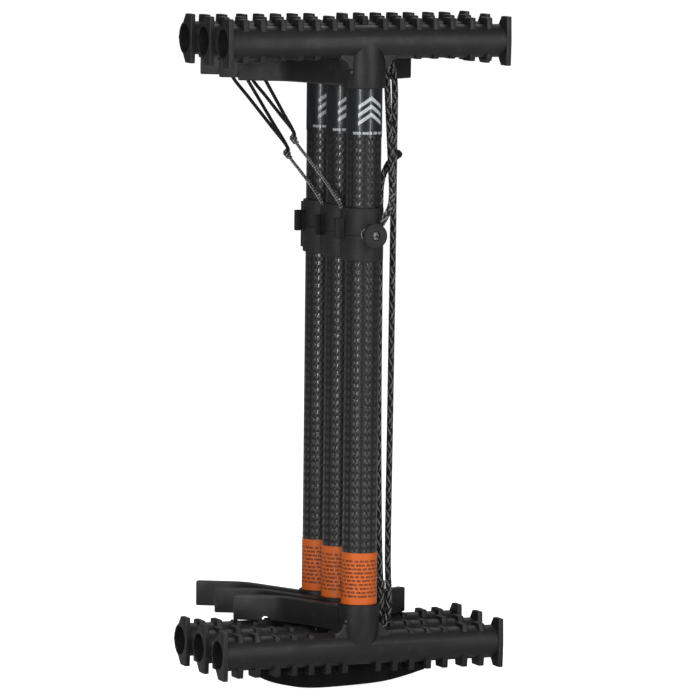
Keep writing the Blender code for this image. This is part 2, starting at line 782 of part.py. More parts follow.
def add_ropes():
    neck = BUTTON_NECK_OD / 2
    eye = ring("rope_eye", neck + CLEARANCE + ROPE_OD / 2, ROPE_OD)
    add_part("front_rope_eye", eye, "rope", eye_place("front"))
    rope = tube("rope", [in_place(point) for point in ROPE_ROUTE], ROPE_OD, steps=2)
    add_part("front_rope", rope, "rope")
    add_part("front_rope_knot", knot_mesh(ROPE_OD, ROPE_KNOT_SIZE), "rope", in_place(ROPE_KNOT))
    for stick, route in CORD_ROUTES.items():
        eye = ring("cord_eye", neck + CLEARANCE + CORD_OD / 2, CORD_OD)
        add_part(f"{stick}_cord_eye", eye, "cord", eye_place(stick))
        cord = tube("cord", [in_place(point) for point in route], CORD_OD, steps=3)
        add_part(f"{stick}_cord", cord, "cord")
        knot = knot_mesh(CORD_OD, CORD_KNOT_SIZE)
        add_part(f"{stick}_cord_knot", knot, "cord", in_place(CORD_KNOTS[stick]))
        loop = tube("loop", [in_place(point) for point in LOOP_ROUTES[stick]], LOOP_OD, steps=2)
        add_part(f"{stick}_elastic_loop", loop, "rubber")


clear_scene()
PARTS = new_collection("climbing_stick_pack")
CUTTERS = new_collection("cutters", hidden=True)
FINISHES = make_materials()
SHAPES = stick_shapes()
for stick_name, stick_y in STICKS.items():
    add_stick(stick_name, stick_y, SHAPES)
add_ropes()
add_part("stowed_strap", strap_mesh(), "webbing")
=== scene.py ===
"""The finished look of a nested pack of three double-step climbing sticks, in metres, +Z up.

Each stick is a braided carbon tube between two moulded T steps. The bars run along X, the standoff
arms point towards the tree along +Y, and the front stick is at -Y.
"""

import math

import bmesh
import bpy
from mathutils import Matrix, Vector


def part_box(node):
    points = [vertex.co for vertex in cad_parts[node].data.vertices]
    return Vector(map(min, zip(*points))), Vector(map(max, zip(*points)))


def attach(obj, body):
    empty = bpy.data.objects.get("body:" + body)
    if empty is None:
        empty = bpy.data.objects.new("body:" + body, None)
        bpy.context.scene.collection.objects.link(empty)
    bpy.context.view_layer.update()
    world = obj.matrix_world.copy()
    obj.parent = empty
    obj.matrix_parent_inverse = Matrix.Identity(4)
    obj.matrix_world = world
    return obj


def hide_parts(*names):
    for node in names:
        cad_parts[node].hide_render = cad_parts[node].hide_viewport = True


bl_info = {
    "name": "Climbing Stick Pack",
    "version": (1, 0, 0),
    "blender": (4, 5, 0),
    "location": "3D View > Sidebar > Sticks",
    "description": "Finishes three nested climbing sticks with their ropes, labels and strap",
    "category": "Object",
}

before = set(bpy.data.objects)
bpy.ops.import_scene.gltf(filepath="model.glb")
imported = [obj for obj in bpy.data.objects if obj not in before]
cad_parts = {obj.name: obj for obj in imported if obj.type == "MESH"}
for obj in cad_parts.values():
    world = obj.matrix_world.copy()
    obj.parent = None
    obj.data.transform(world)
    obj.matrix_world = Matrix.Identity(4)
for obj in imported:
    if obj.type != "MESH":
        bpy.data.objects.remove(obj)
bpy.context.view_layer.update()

STICKS = ("front", "middle", "rear")
BODIES = {stick: f"{stick}_stick" for stick in STICKS}
SPOOLS = {stick: f"{stick}_button_spool" for stick in STICKS}
CLEARANCE = 0.0003


def middle_of(node):
    low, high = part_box(node)
    return (low + high) / 2


# Places read from the frame
AXIS_Y = {stick: middle_of(f"{stick}_tube").y for stick in STICKS}
MIDDLE = middle_of("middle_tube").z
TUBE_LOW, TUBE_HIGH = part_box("middle_tube")
TUBE_OD = TUBE_HIGH.x - TUBE_LOW.x
TUBE_R = TUBE_OD / 2
STEP_LOW, STEP_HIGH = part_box("middle_upper_step")
STEP_WIDTH = STEP_HIGH.x - STEP_LOW.x

# Step moulding
FLANGE_HEIGHT = 0.0404
BAR_LIFT = STEP_HIGH.z - FLANGE_HEIGHT / 2 - MIDDLE
BAR_OD = 0.0272
BAR_BORE = 0.0235
BORE_FLOOR = 0.0024
FLANGE_THICKNESS = 0.0042
FLANGE_DEPTH = 0.0291
CROWN_FRONT = -0.0137
CROWN_BACK = -0.0017
RIB_WIDTH = 0.0050
RIB_DEPTH = 0.0145
RIB_SLOPE = 0.0016
RIB_OFFSET = -0.0008
RIB_INSET = 0.0172
RIB_PITCH = 0.0149
RIB_JUMP = 0.0176
OUTBOARD_TOP = 0.0192
TALL_TOP = 0.0163
SHORT_TOP = 0.0141
OUTER_PAIR = 2
OUTBOARD_RIBS = 7
INBOARD_RIBS = 5
SOCKET_OD = 0.0340
SOCKET_REACH = 0.0372
SOCKET_FILLET = 0.0080
SOCKET_TAPER_START = 0.0030
SOCKET_CREST = 0.0042
FILLET_DEPTH = 0.0180
ARM_THICKNESS = 0.0080
ARM_HEIGHT = 0.0206
ARM_TOP = 0.0148
ARM_ROOT = (0.0120, 0.0040)
ARM_KNEE = (0.0410, 0.0690)
ARM_TIP = (0.0755, 0.0880)
ARM_KNEE_ROUNDING = 0.0100
ARM_WEB_REACH = 0.0095
ARM_WEB_TOP = 0.0060
NOTCH_RADIUS = 0.0037
NOTCH_FROM_KNEE = 0.0125

# Collar, button, cleat and pins
COLLAR_HEIGHT = 0.0433
COLLAR_WALL = 0.0021
COLLAR_LIFT = middle_of("middle_collar").z - MIDDLE
BLOCK_WIDTH = 0.0260
BLOCK_REACH = 0.0175
BLOCK_HEIGHT = 0.0380
BUTTON_OD = 0.0204
BUTTON_THICKNESS = 0.0044
BUTTON_NECK_OD = 0.0110
BUTTON_NECK = 0.0064
BUTTON_FACE = 0.0280
BUTTON_BACK = BUTTON_FACE - BUTTON_THICKNESS
BOSS_FACE = BUTTON_BACK - BUTTON_NECK
BOSS_OD = 0.0150
SCREW_OD = 0.0040
SCREW_HEAD_OD = 0.0072
SCREW_HEAD = 0.0022
SCREW_HEX = 0.0030
CLEAT_HEIGHT = 0.0170
CLEAT_WIDTH = 0.0046
CLEAT_REACH = 0.0250
CLEAT_HEAD = 0.0042
CLEAT_WEB = 0.0026
CLEAT_SEAT = 0.0156
CLEAT_LIFT = 0.0045
PIN_OD = 0.0032
PIN_TURN = math.radians(62)
PIN_DEPTH = 0.0128
PIN_LIFT = 0.0135
PIN_HEIGHT = BAR_LIFT - SOCKET_REACH + PIN_LIFT
LABEL_GAP = 0.0001
LABEL_THICKNESS = 0.0003

# Sides of round shapes, and the rounding of the smallest edges
TUBE_SIDES = 96
BOSS_SIDES = 48
HOLE_SIDES = 32
PIN_SIDES = 24
FINE_ROUNDING = 0.0004

# Rope, cords and strap
ROPE_OD = 0.0058
EYE_OD = 0.0046
CORD_OD = 0.0030
LOOP_OD = 0.0033
STRAP_THICKNESS = 0.0024
STRAP_WIDTH = 0.0250

# Each braid's look: strands of one direction, length between crossings, one pale strand in how many, finish
CORD_LOOK = (4, 0.0011, 2, "cord")
KNOT_LOOK = (4, 0.0011, 99, "elastic")
LOOP_LOOK = (4, 0.0012, 99, "elastic")
TWINE_LOOK = (2, 0.0008, 3, "elastic")
# The rope's eye has one pale strand in nine, not three, so that it reads darker: painted shade where it lies
# behind the button.
EYE_SHADE_FLECK_EVERY = 9
TWINE_OD = 0.0011
ROUTE_STEPS = 8
KNOT_END = 0.72

# Camera, as its direction from the pack, its distance and its aim from the middle of the pack
CAMERA_AZIMUTH = math.radians(22.54)
CAMERA_ELEVATION = math.radians(5.99)
CAMERA_ROLL = math.radians(0.63)
CAMERA_DISTANCE = 5.0931
CAMERA_LENS = 318.35
CAMERA_SENSOR = 36.0
CAMERA_CLIP = (0.05, 200.0)
CAMERA_AIM = (0.0070, -0.0072)

# Lights: turns are from the camera's own azimuth, and heights are above the plane that the pack stands on
LEFT_STRIP_TURN = math.radians(26)
RIGHT_STRIP_TURN = math.radians(-41)
STRIP_SIZE = (0.11, 2.6)
STRIP_HEIGHT = 0.45
STRIP_DISTANCE = 2.0
RIGHT_STRIP_SHARE = 0.8
BACK_LIGHT_SHARE = 0.5
FLOOR_GLOW = 0.95

# Routes from the middle of the middle stick's tube, in mm: X, Y and Z.
# The rope is wound twice round the right arms of the front stick, in the gap behind its own bars.
ROPE_ROUTE = (
    (8.0, -63.4, 102.0), (13.5, -60.0, 108.5), (20.5, -52.0, 116.0), (27.0, -39.0, 127.0),
    (30.0, -29.0, 146.0), (29.8, -25.5, 175.0), (28.2, -24.8, 205.0), (27.2, -24.8, 224.0),
    (26.8, -24.8, 232.0), (24.0, -24.8, 238.4), (18.2, -24.8, 240.8), (12.2, -24.8, 238.2),
    (9.9, -24.8, 231.0), (9.8, -24.7, 215.0), (14.5, -24.7, 150.0), (16.8, -24.7, 105.0),
    (14.5, -24.7, 45.0), (12.0, -24.7, -60.0), (10.0, -24.7, -160.0), (9.8, -24.7, -215.0),
    (10.2, -24.7, -230.0), (12.4, -24.7, -237.0), (17.6, -24.7, -240.0), (24.0, -24.7, -239.0),
    (30.5, -24.5, -233.5), (34.6, -22.9, -222.0), (35.4, -21.8, -207.0), (34.9, -20.3, -170.0),
    (35.6, -20.2, -60.0), (36.2, -20.2, 60.0), (36.4, -20.2, 160.0), (36.6, -20.0, 205.0),
    (35.2, -19.0, 223.0), (29.9, -18.3, 235.2), (21.2, -18.2, 239.4), (13.4, -18.3, 237.0),
    (10.0, -18.3, 228.0), (9.6, -18.3, 205.0), (14.5, -18.3, 150.0), (16.8, -18.3, 105.0),
    (14.5, -18.3, 45.0), (12.0, -18.3, -60.0), (10.0, -18.3, -160.0), (9.6, -18.3, -215.0),
    (10.4, -18.3, -230.0), (13.2, -18.2, -237.2), (19.6, -18.0, -240.2), (26.2, -17.9, -238.4),
    (29.8, -18.1, -232.0), (29.4, -19.0, -220.0), (29.0, -19.9, -205.0), (26.4, -21.4, -160.0),
    (24.6, -21.5, -60.0), (24.2, -21.5, 60.0), (24.4, -20.5, 112.0), (27.5, -15.5, 132.0),
    (33.5, -12.8, 145.0), (37.8, -14.6, 150.6),
)
ROPE_END = (41.4, -16.6, 154.6)
# Each light cord runs from its eye to a knot. An elastic loop runs on over the left arm, in its notch.
CORD_ROUTES = {
    "middle": (
        (-5.6, -20.4, 101.0), (-10.4, -22.5, 112.0), (-20.0, -14.0, 131.0), (-30.5, 2.0, 151.0),
        (-33.6, 14.0, 159.6),
    ),
    "rear": (
        (-5.6, 22.6, 101.0), (-9.5, 20.5, 111.0), (-16.0, 26.0, 124.0), (-22.0, 38.0, 137.0),
        (-25.2, 48.0, 144.8),
    ),
}
CORD_KNOTS = {"middle": (-36.0, 20.0, 165.8), "rear": (-27.6, 55.0, 151.0)}
LOOP_ROUTES = {
    "middle": (
        (-35.5, 23.0, 172.2), (-38.8, 36.2, 185.7), (-42.1, 49.7, 199.5), (-45.4, 62.9, 213.0),
        (-50.0, 66.2, 221.5), (-53.7, 68.8, 228.4), (-54.5, 70.4, 231.3), (-53.6, 72.1, 232.0),
        (-52.0, 75.0, 232.1), (-50.3, 78.0, 232.0), (-49.4, 79.7, 231.3), (-49.0, 80.5, 229.0),
        (-49.0, 80.6, 220.0), (-49.0, 80.6, 211.5), (-44.1, 62.7, 198.4), (-39.0, 44.2, 184.9),
        (-34.1, 26.3, 171.8),
    ),
    "rear": (
        (-27.0, 58.0, 157.4), (-33.2, 73.8, 175.7), (-39.5, 90.2, 194.7), (-45.7, 106.0, 213.0),
        (-50.0, 109.2, 221.5), (-53.7, 111.8, 228.4), (-54.5, 113.4, 231.3), (-53.6, 115.1, 232.0),
        (-52.0, 118.0, 232.1), (-50.3, 121.0, 232.0), (-49.4, 122.7, 231.3), (-49.0, 123.5, 229.0),
        (-49.5, 123.9, 220.0), (-50.0, 124.2, 211.5), (-42.0, 103.4, 193.5), (-33.7, 82.0, 175.0),
        (-25.6, 61.3, 157.0),
    ),
}
# The strap's lower edge, in mm: X, and Z above the crowns that the pack stands on.
STRAP_EDGE = ((-88.0, 2.0), (-71.0, -7.0), (-51.0, -12.4), (-32.0, -14.8), (-7.0, -14.6), (28.0, -12.0),
              (50.0, -8.4), (68.0, -4.0))


# ---------------------------------------------------------------- settings


class StageSettings(bpy.types.PropertyGroup):
    floor_colour: bpy.props.FloatVectorProperty(
        name="Floor", description="Colour of the floor", subtype="COLOR", size=3,
        default=(0.86, 0.86, 0.86), min=0, max=1,
    )
    strip_power: bpy.props.FloatProperty(
        name="Strip lights", description="Power of each tall strip light", default=30.0, unit="POWER"
    )
    top_power: bpy.props.FloatProperty(
        name="Top light", description="Power of the soft light above", default=16.0, unit="POWER"
    )
    surround: bpy.props.FloatProperty(
        name="Surround", description="Strength of the even light from all round", default=0.12, min=0
    )


class MouldingSettings(bpy.types.PropertyGroup):
    colour: bpy.props.FloatVectorProperty(
        name="Plastic", description="Colour of the step mouldings", subtype="COLOR", size=3,
        default=(0.0115, 0.0115, 0.0120), min=0, max=1,
    )
    edge_colour: bpy.props.FloatVectorProperty(
        name="Worn edge", description="Colour of the rubbed edges of the ribs and flanges",
        subtype="COLOR", size=3, default=(0.030, 0.030, 0.029), min=0, max=1,
    )
    rib_rounding: bpy.props.FloatProperty(
        name="Rib rounding", description="Radius of the edges of the ribs", default=0.0007, unit="LENGTH"
    )
    flange_rounding: bpy.props.FloatProperty(
        name="Flange rounding", description="Radius of the edges of the end flanges", default=0.0006,
        unit="LENGTH",
    )
    arm_rounding: bpy.props.FloatProperty(
        name="Arm rounding", description="Radius of the edges of the arms", default=0.0012, unit="LENGTH"
    )


class TubeSettings(bpy.types.PropertyGroup):
    # Painted sheen lifts one hand's tows to this colour, and the gaps between the tows take painted shade, a
    # fifth of it.
    weave_colour: bpy.props.FloatVectorProperty(
        name="Carbon", description="Colour of the lighter tows of the braid", subtype="COLOR", size=3,
        default=(0.022, 0.022, 0.0215), min=0, max=1,
    )
    tows: bpy.props.IntProperty(
        name="Tows", description="Tows of each direction around the tube", default=18, min=6
    )
    braid_pitch: bpy.props.FloatProperty(
        name="Braid pitch", description="Height of one diamond of the braid", default=0.0062, unit="LENGTH"
    )


class LabelSettings(bpy.types.PropertyGroup):
    upper_colour: bpy.props.FloatVectorProperty(
        name="Upper label", description="Colour of the dark label", subtype="COLOR", size=3,
        default=(0.0055, 0.0085, 0.0115), min=0, max=1,
    )
    lower_colour: bpy.props.FloatVectorProperty(
        name="Lower label", description="Colour of the bright label", subtype="COLOR", size=3,
        default=(0.74, 0.135, 0.008), min=0, max=1,
    )
    mark_colour: bpy.props.FloatVectorProperty(
        name="Mark", description="Colour of the chevrons on the dark label", subtype="COLOR", size=3,
        default=(0.50, 0.56, 0.58), min=0, max=1,
    )


class RopeSettings(bpy.types.PropertyGroup):
    strands: bpy.props.IntProperty(
        name="Rope strands", description="Strands of each direction in the rope's braid", default=8, min=2
    )
    crossing: bpy.props.FloatProperty(
        name="Rope crossing", description="Length of rope between two crossings of its strands",
        default=0.0018, unit="LENGTH",
    )
    fleck_every: bpy.props.IntProperty(
        name="Fleck every", description="One rope strand in this many is pale", default=3, min=1
    )
    dark_colour: bpy.props.FloatVectorProperty(
        name="Dark strand", description="Colour of the dark strands", subtype="COLOR", size=3,
        default=(0.0085, 0.0085, 0.0085), min=0, max=1,
    )
    pale_colour: bpy.props.FloatVectorProperty(
        name="Pale strand", description="Colour of the pale strands", subtype="COLOR", size=3,
        default=(0.30, 0.30, 0.285), min=0, max=1,
    )


SETTINGS = {
    "stick_stage": StageSettings,
    "stick_moulding": MouldingSettings,
    "stick_tube": TubeSettings,
    "stick_label": LabelSettings,
    "stick_rope": RopeSettings,
}


# ---------------------------------------------------------------- node trees


class Wires:
    """Short calls that add nodes to one tree and give back their output sockets."""

    def __init__(self, tree):
        self.tree = tree

    def node(self, kind, **settings):
        node = self.tree.nodes.new(kind)
        for name, value in settings.items():
            setattr(node, name, value)
        return node

    def feed(self, socket, value):
        if isinstance(value, bpy.types.NodeSocket):
            self.tree.links.new(value, socket)
        else:
            socket.default_value = value

    def make(self, kind, inputs=(), **settings):
        """A node with some inputs fed, by name or number."""
        node = self.node(kind, **settings)
        for name, value in dict(inputs).items():
            self.feed(node.inputs[name], value)
        return node

    def math(self, operation, *values):
        node = self.node("ShaderNodeMath", operation=operation)
        for socket, value in zip(node.inputs, values):
            self.feed(socket, value)
        return node.outputs[0]

    def times(self, first, second):
        return self.math("MULTIPLY", first, second)

    def arch(self, value):
        """A rounded rise and fall within each whole step of a value."""
        return self.math("SINE", self.times(self.math("FRACT", value), math.pi))

    def vector(self, operation, *values):
        node = self.node("ShaderNodeVectorMath", operation=operation)
        for socket, value in zip(node.inputs, values):
            self.feed(socket, value)
        return node.outputs[0]

    def scaled(self, vector, factor):
        node = self.node("ShaderNodeVectorMath", operation="SCALE")
        self.feed(node.inputs[0], vector)
        self.feed(node.inputs["Scale"], factor)
        return node.outputs[0]

    def spread(self, value, low, high, to_low=0.0, to_high=1.0):
        """A value spread from one range to another, and kept within it."""
        places = {"Value": value, "From Min": low, "From Max": high, "To Min": to_low, "To Max": to_high}
        return self.make("ShaderNodeMapRange", places).outputs[0]

    def blend(self, factor, first, second):
        """A colour between two others. The second is full at factor 1."""
        return self.make("ShaderNodeMix", {0: factor, 6: first, 7: second}, data_type="RGBA").outputs[2]

    def noise(self, vector, scale, detail=2.0):
        inputs = {"Vector": vector, "Scale": scale, "Detail": detail}
        return self.make("ShaderNodeTexNoise", inputs).outputs[0]


def shader_group(name, inputs, outputs, fill):
    """A shader node group with named sockets, filled by a function."""
    group = bpy.data.node_groups.new(name, "ShaderNodeTree")
    for label, value in inputs.items():
        kind = "NodeSocketVector" if value is None else "NodeSocketFloat"
        socket = group.interface.new_socket(label, in_out="INPUT", socket_type=kind)
        if value is not None:
            socket.default_value = value
    for label in outputs:
        group.interface.new_socket(label, in_out="OUTPUT", socket_type="NodeSocketFloat")
    wires = Wires(group)
    start = wires.node("NodeGroupInput")
    end = wires.node("NodeGroupOutput")
    for label, value in fill(wires, start.outputs).items():
        wires.feed(end.inputs[label], value)
    return group


def grain(wires, given):
    """Fine moulded grain over slow waviness, with a few rubbed patches."""
    fine = wires.noise(given["Vector"], given["Grain"], 3.0)
    slow = wires.noise(given["Vector"], 55.0, 2.0)
    rubbed = wires.noise(given["Vector"], 140.0, 5.0)
    patches = wires.spread(rubbed, 0.56, 0.74)
    return {
        "Height": wires.math("ADD", wires.times(fine, 0.6), wires.times(slow, 0.8)),
        "Patches": wires.times(patches, given["Rub"]),
        "Tone": wires.spread(slow, 0.30, 0.70),
    }


def dust(wires, given):
    """Small pale specks, where a fine noise is high."""
    specks = wires.noise(given["Vector"], 2600.0, 1.0)
    drift = wires.noise(given["Vector"], 28.0, 2.0)
    bright = wires.spread(specks, 0.70, 0.80)
    return {"Specks": wires.times(wires.times(bright, drift), given["Amount"])}


def fibres(wires, given):
    """Fine threads along one direction, given as a scale for each axis."""
    stretched = wires.vector("MULTIPLY", given["Vector"], given["Stretch"])
    threads = wires.noise(stretched, 1.0, 2.0)
    fuzz = wires.noise(given["Vector"], 1800.0, 2.0)
    return {
        "Height": wires.math("ADD", threads, wires.times(fuzz, 0.5)),
        "Tone": wires.spread(threads, 0.25, 0.75),
    }


def dashes(wires, given):
    """Rows of plain dashes of uneven length. The rows count up along Y."""
    parts = wires.make("ShaderNodeSeparateXYZ", {0: given["Vector"]}).outputs
    row = wires.math("DIVIDE", parts[1], given["Row"])
    number = wires.math("FLOOR", row)
    within = wires.math("FRACT", row)
    foot, head, row_shift, ticks_per_dash, tick = 0.24, 0.80, 17.3, 4.0, 0.78
    above = wires.math("GREATER_THAN", within, foot)
    tall = wires.times(above, wires.math("LESS_THAN", within, head))
    run = wires.math("DIVIDE", parts[0], given["Dash"])
    along = wires.math("ADD", run, wires.times(number, row_shift))
    word = wires.make("ShaderNodeTexWhiteNoise", {"W": wires.math("FLOOR", along)}, noise_dimensions="1D")
    length = wires.spread(word.outputs[0], 0, 1, 0.60, 1.0)
    dash = wires.math("LESS_THAN", wires.math("FRACT", along), length)
    ticks = wires.math("LESS_THAN", wires.math("FRACT", wires.times(along, ticks_per_dash)), tick)
    return {"Mask": wires.times(wires.times(tall, dash), ticks)}


def make_groups():
    return {
        "grain": shader_group(
            "moulded grain", {"Vector": None, "Grain": 1500.0, "Rub": 1.0},
            ("Height", "Patches", "Tone"), grain,
        ),
        "dust": shader_group("dust", {"Vector": None, "Amount": 1.0}, ("Specks",), dust),
        "fibres": shader_group("fibres", {"Vector": None, "Stretch": None}, ("Height", "Tone"), fibres),
        "dashes": shader_group("dashes", {"Vector": None, "Row": 0.0032, "Dash": 0.0042}, ("Mask",), dashes),
    }


GROUPS = {}


def group_node(wires, name, inputs):
    if not GROUPS:
        GROUPS.update(make_groups())
    node = wires.node("ShaderNodeGroup", node_tree=GROUPS[name])
    for label, value in inputs.items():
        wires.feed(node.inputs[label], value)
    return node.outputs


def colour(value):
    return (*value, 1.0)


def new_finish(name, constants):
    """A material with its Principled BSDF's steady values set. Gives the wires and the shader too."""
    material = bpy.data.materials.new(name)
    material.use_nodes = True
    wires = Wires(material.node_tree)
    shader = material.node_tree.nodes["Principled BSDF"]
    for label, value in constants.items():
        shader.inputs[label].default_value = value
    return material, wires, shader


def add_bump(wires, shader, height, strength, distance):
    bump = wires.make("ShaderNodeBump", {"Height": height, "Strength": strength, "Distance": distance})
    wires.feed(shader.inputs["Normal"], bump.outputs[0])


def object_place(wires):
    return wires.node("ShaderNodeTexCoord").outputs["Object"]


def surface_place(wires):
    """The piece's own UV map, whole and as its separate numbers."""
    place = wires.node("ShaderNodeUVMap", uv_map="UVMap").outputs[0]
    return place, wires.make("ShaderNodeSeparateXYZ", {0: place}).outputs


def moulded_finish(name, base, rubbed, roughness, grain_size=1500.0):
    material, wires, shader = new_finish(name, {"Specular IOR Level": 0.34})
    place = object_place(wires)
    skin = group_node(wires, "grain", {"Vector": place, "Grain": grain_size, "Rub": 0.55})
    specks = group_node(wires, "dust", {"Vector": place, "Amount": 0.5})["Specks"]
    darker = colour([value * 0.72 for value in base])
    toned = wires.blend(skin["Tone"], darker, colour(base))
    worn = wires.blend(skin["Patches"], toned, colour(rubbed))
    dusty = wires.blend(wires.times(specks, 0.5), worn, colour((0.12, 0.12, 0.115)))
    wires.feed(shader.inputs["Base Color"], dusty)
    rough = wires.spread(skin["Tone"], 0, 1, roughness + 0.07, roughness - 0.05)
    wires.feed(shader.inputs["Roughness"], rough)
    add_bump(wires, shader, skin["Height"], strength=0.30, distance=0.00035)
    return material


def layered_finish(name, base):
    """Printed plastic: fine level layers, one above the other."""
    material, wires, shader = new_finish(name, {"Specular IOR Level": 0.34})
    place = object_place(wires)
    layer = 0.00055
    level = wires.make("ShaderNodeSeparateXYZ", {0: place}).outputs[2]
    wave = wires.math("SINE", wires.times(level, math.tau / layer))
    skin = group_node(wires, "grain", {"Vector": place, "Grain": 900.0, "Rub": 0.6})
    uneven = wires.noise(wires.vector("MULTIPLY", place, (60.0, 60.0, 1400.0)), 1.0, 1.0)
    tone = wires.math("ADD", wires.times(uneven, 0.7), wires.times(skin["Tone"], 0.3))
    lighter = colour([value * 1.9 for value in base])
    wires.feed(shader.inputs["Base Color"], wires.blend(tone, colour(base), lighter))
    wires.feed(shader.inputs["Roughness"], wires.spread(uneven, 0.3, 0.7, 0.62, 0.46))
    height = wires.math("ADD", wires.times(wave, 0.35), wires.math("ADD", uneven, skin["Height"]))
    add_bump(wires, shader, height, strength=0.35, distance=0.00025)
    return material


def carbon_finish(settings):
    """Braided tows under clear lacquer, with painted sheen on the tows of one hand and painted shade between
    the tows. The tube's UV map is in metres, round the tube and up it.
    """
    fixed = {"Specular IOR Level": 0.38, "Coat Roughness": 0.11}
    material, wires, shader = new_finish("braided_carbon", fixed)
    threads_per_tow = 9
    place, parts = surface_place(wires)
    around = wires.times(parts[0], settings.tows / (math.pi * TUBE_OD))
    up = wires.math("DIVIDE", parts[1], settings.braid_pitch)
    right = wires.math("ADD", up, around)
    left = wires.math("SUBTRACT", up, around)
    rungs = wires.math("ADD", wires.math("FLOOR", right), wires.math("FLOOR", left))
    over = wires.math("FLOORED_MODULO", rungs, 2.0)
    heights = []
    for across, along in ((right, left), (left, right)):
        crown = wires.arch(across)
        rise = wires.arch(along)
        thread = wires.math("SINE", wires.times(across, math.tau * threads_per_tow))
        tow = wires.math("ADD", wires.times(crown, 0.45), wires.times(rise, 0.55))
        heights.append(wires.math("ADD", tow, wires.times(thread, 0.025)))
    height = wires.make("ShaderNodeMix", {0: over, 2: heights[0], 3: heights[1]}).outputs[0]
    uneven = wires.noise(place, 420.0, 2.0)
    # Painted sheen: the cells where one hand's tows lie on top are lighter. Painted shade: the colour darkens
    # towards a fifth of the weave colour where the tows' height is low, between them.
    painted_sheen = wires.spread(over, 0, 1, 0.25, 1.0)
    sheen_and_tone = wires.times(painted_sheen, wires.spread(uneven, 0.3, 0.7, 0.6, 1.0))
    sheen_and_gap_shade = wires.times(sheen_and_tone, wires.spread(height, 0.15, 0.65))
    dark = colour([value * 0.20 for value in settings.weave_colour])
    specks = group_node(wires, "dust", {"Vector": object_place(wires), "Amount": 0.5})["Specks"]
    woven = wires.blend(sheen_and_gap_shade, dark, colour(settings.weave_colour))
    wires.feed(shader.inputs["Base Color"], wires.blend(specks, woven, colour((0.16, 0.16, 0.155))))
    wires.feed(shader.inputs["Roughness"], wires.spread(sheen_and_gap_shade, 0, 1, 0.42, 0.26))
    flats = wires.times(over, wires.spread(height, 0.35, 0.75))
    wires.feed(shader.inputs["Coat Weight"], wires.spread(flats, 0, 1, 0.0, 0.85))
    add_bump(wires, shader, height, strength=0.45, distance=0.0007)
    return material


def dark_label_finish(settings):
    """A dark wrap with three chevrons over a row of dashes. V counts from the label's middle."""
    fixed = {"Specular IOR Level": 0.5, "Coat Weight": 0.25, "Coat Roughness": 0.12}
    material, wires, shader = new_finish("dark_wrap", fixed)
    place, parts = surface_place(wires)
    half, pitch, slope, gap, apex = 0.0105, 0.0066, 0.72, 0.50, 0.0140
    chevrons = 3
    row_top, row_half, row_reach = -0.0144, 0.0018, 0.0150
    aside = wires.math("ABSOLUTE", parts[0])
    lift = wires.math("ADD", parts[1], wires.times(aside, slope))
    rung = wires.math("DIVIDE", wires.math("ADD", lift, chevrons * pitch - apex), pitch)
    bands = wires.math("GREATER_THAN", wires.math("FRACT", rung), gap)
    low = wires.math("GREATER_THAN", rung, 0.0)
    high = wires.math("LESS_THAN", rung, chevrons)
    inside = wires.math("LESS_THAN", aside, half)
    marks = wires.times(wires.times(bands, low), wires.times(high, inside))
    rows = group_node(wires, "dashes", {"Vector": place, "Row": 2 * row_half, "Dash": 0.0046})["Mask"]
    in_row = wires.math("COMPARE", parts[1], row_top - row_half, row_half)
    row = wires.times(rows, wires.times(in_row, wires.math("LESS_THAN", aside, row_reach)))
    scuffs = wires.noise(place, 900.0, 4.0)
    printed = wires.math("MAXIMUM", marks, row)
    faded = wires.times(printed, wires.spread(scuffs, 0.35, 0.55, 0.55, 1.0))
    wires.feed(
        shader.inputs["Base Color"],
        wires.blend(faded, colour(settings.upper_colour), colour(settings.mark_colour)),
    )
    wires.feed(shader.inputs["Roughness"], wires.spread(scuffs, 0.3, 0.7, 0.42, 0.30))
    add_bump(wires, shader, scuffs, strength=0.10, distance=0.0001)
    return material


def bright_label_finish(settings):
    """A bright wrap with rows of dashes between two plain margins."""
    material, wires, shader = new_finish("bright_wrap", {"Specular IOR Level": 0.4, "Coat Weight": 0.15})
    place, parts = surface_place(wires)
    margin = 0.0158
    rows = group_node(wires, "dashes", {"Vector": place, "Row": 0.0032, "Dash": 0.0043})["Mask"]
    printed = wires.times(rows, wires.math("COMPARE", parts[1], 0.0, margin))
    fade = wires.noise(place, 700.0, 4.0)
    ink = wires.times(printed, wires.spread(fade, 0.3, 0.6, 0.70, 1.0))
    deeper = colour([value * 0.78 for value in settings.lower_colour])
    paper = wires.blend(wires.noise(place, 60.0, 2.0), deeper, colour(settings.lower_colour))
    wires.feed(shader.inputs["Base Color"], wires.blend(ink, paper, colour((0.030, 0.014, 0.008))))
    wires.feed(shader.inputs["Roughness"], wires.spread(fade, 0.3, 0.7, 0.55, 0.42))
    add_bump(wires, shader, fade, strength=0.10, distance=0.0001)
    return material


def strand_finish(name, dark, pale, roughness=0.72):
    """Braided yarn. The strands' own attribute says which of them are pale."""
    material, wires, shader = new_finish(name, {"Specular IOR Level": 0.25, "Sheen Weight": 0.15})
    place = object_place(wires)
    yarn = group_node(wires, "fibres", {"Vector": place, "Stretch": (2600.0, 2600.0, 900.0)})
    fleck = wires.make("ShaderNodeAttribute", attribute_name="pale_strand").outputs["Fac"]
    base = wires.blend(fleck, colour(dark), colour(pale))
    # Painted shade between the threads: the colour darkens where the threads, which also make the bump, are
    # low.
    shade = wires.blend(wires.spread(yarn["Tone"], 0, 1, 0.55, 0.0), base, colour((0.004, 0.004, 0.004)))
    wires.feed(shader.inputs["Base Color"], shade)
    wires.feed(shader.inputs["Roughness"], wires.spread(yarn["Tone"], 0, 1, roughness + 0.1, roughness - 0.1))
    add_bump(wires, shader, yarn["Height"], strength=0.5, distance=0.0002)
    return material


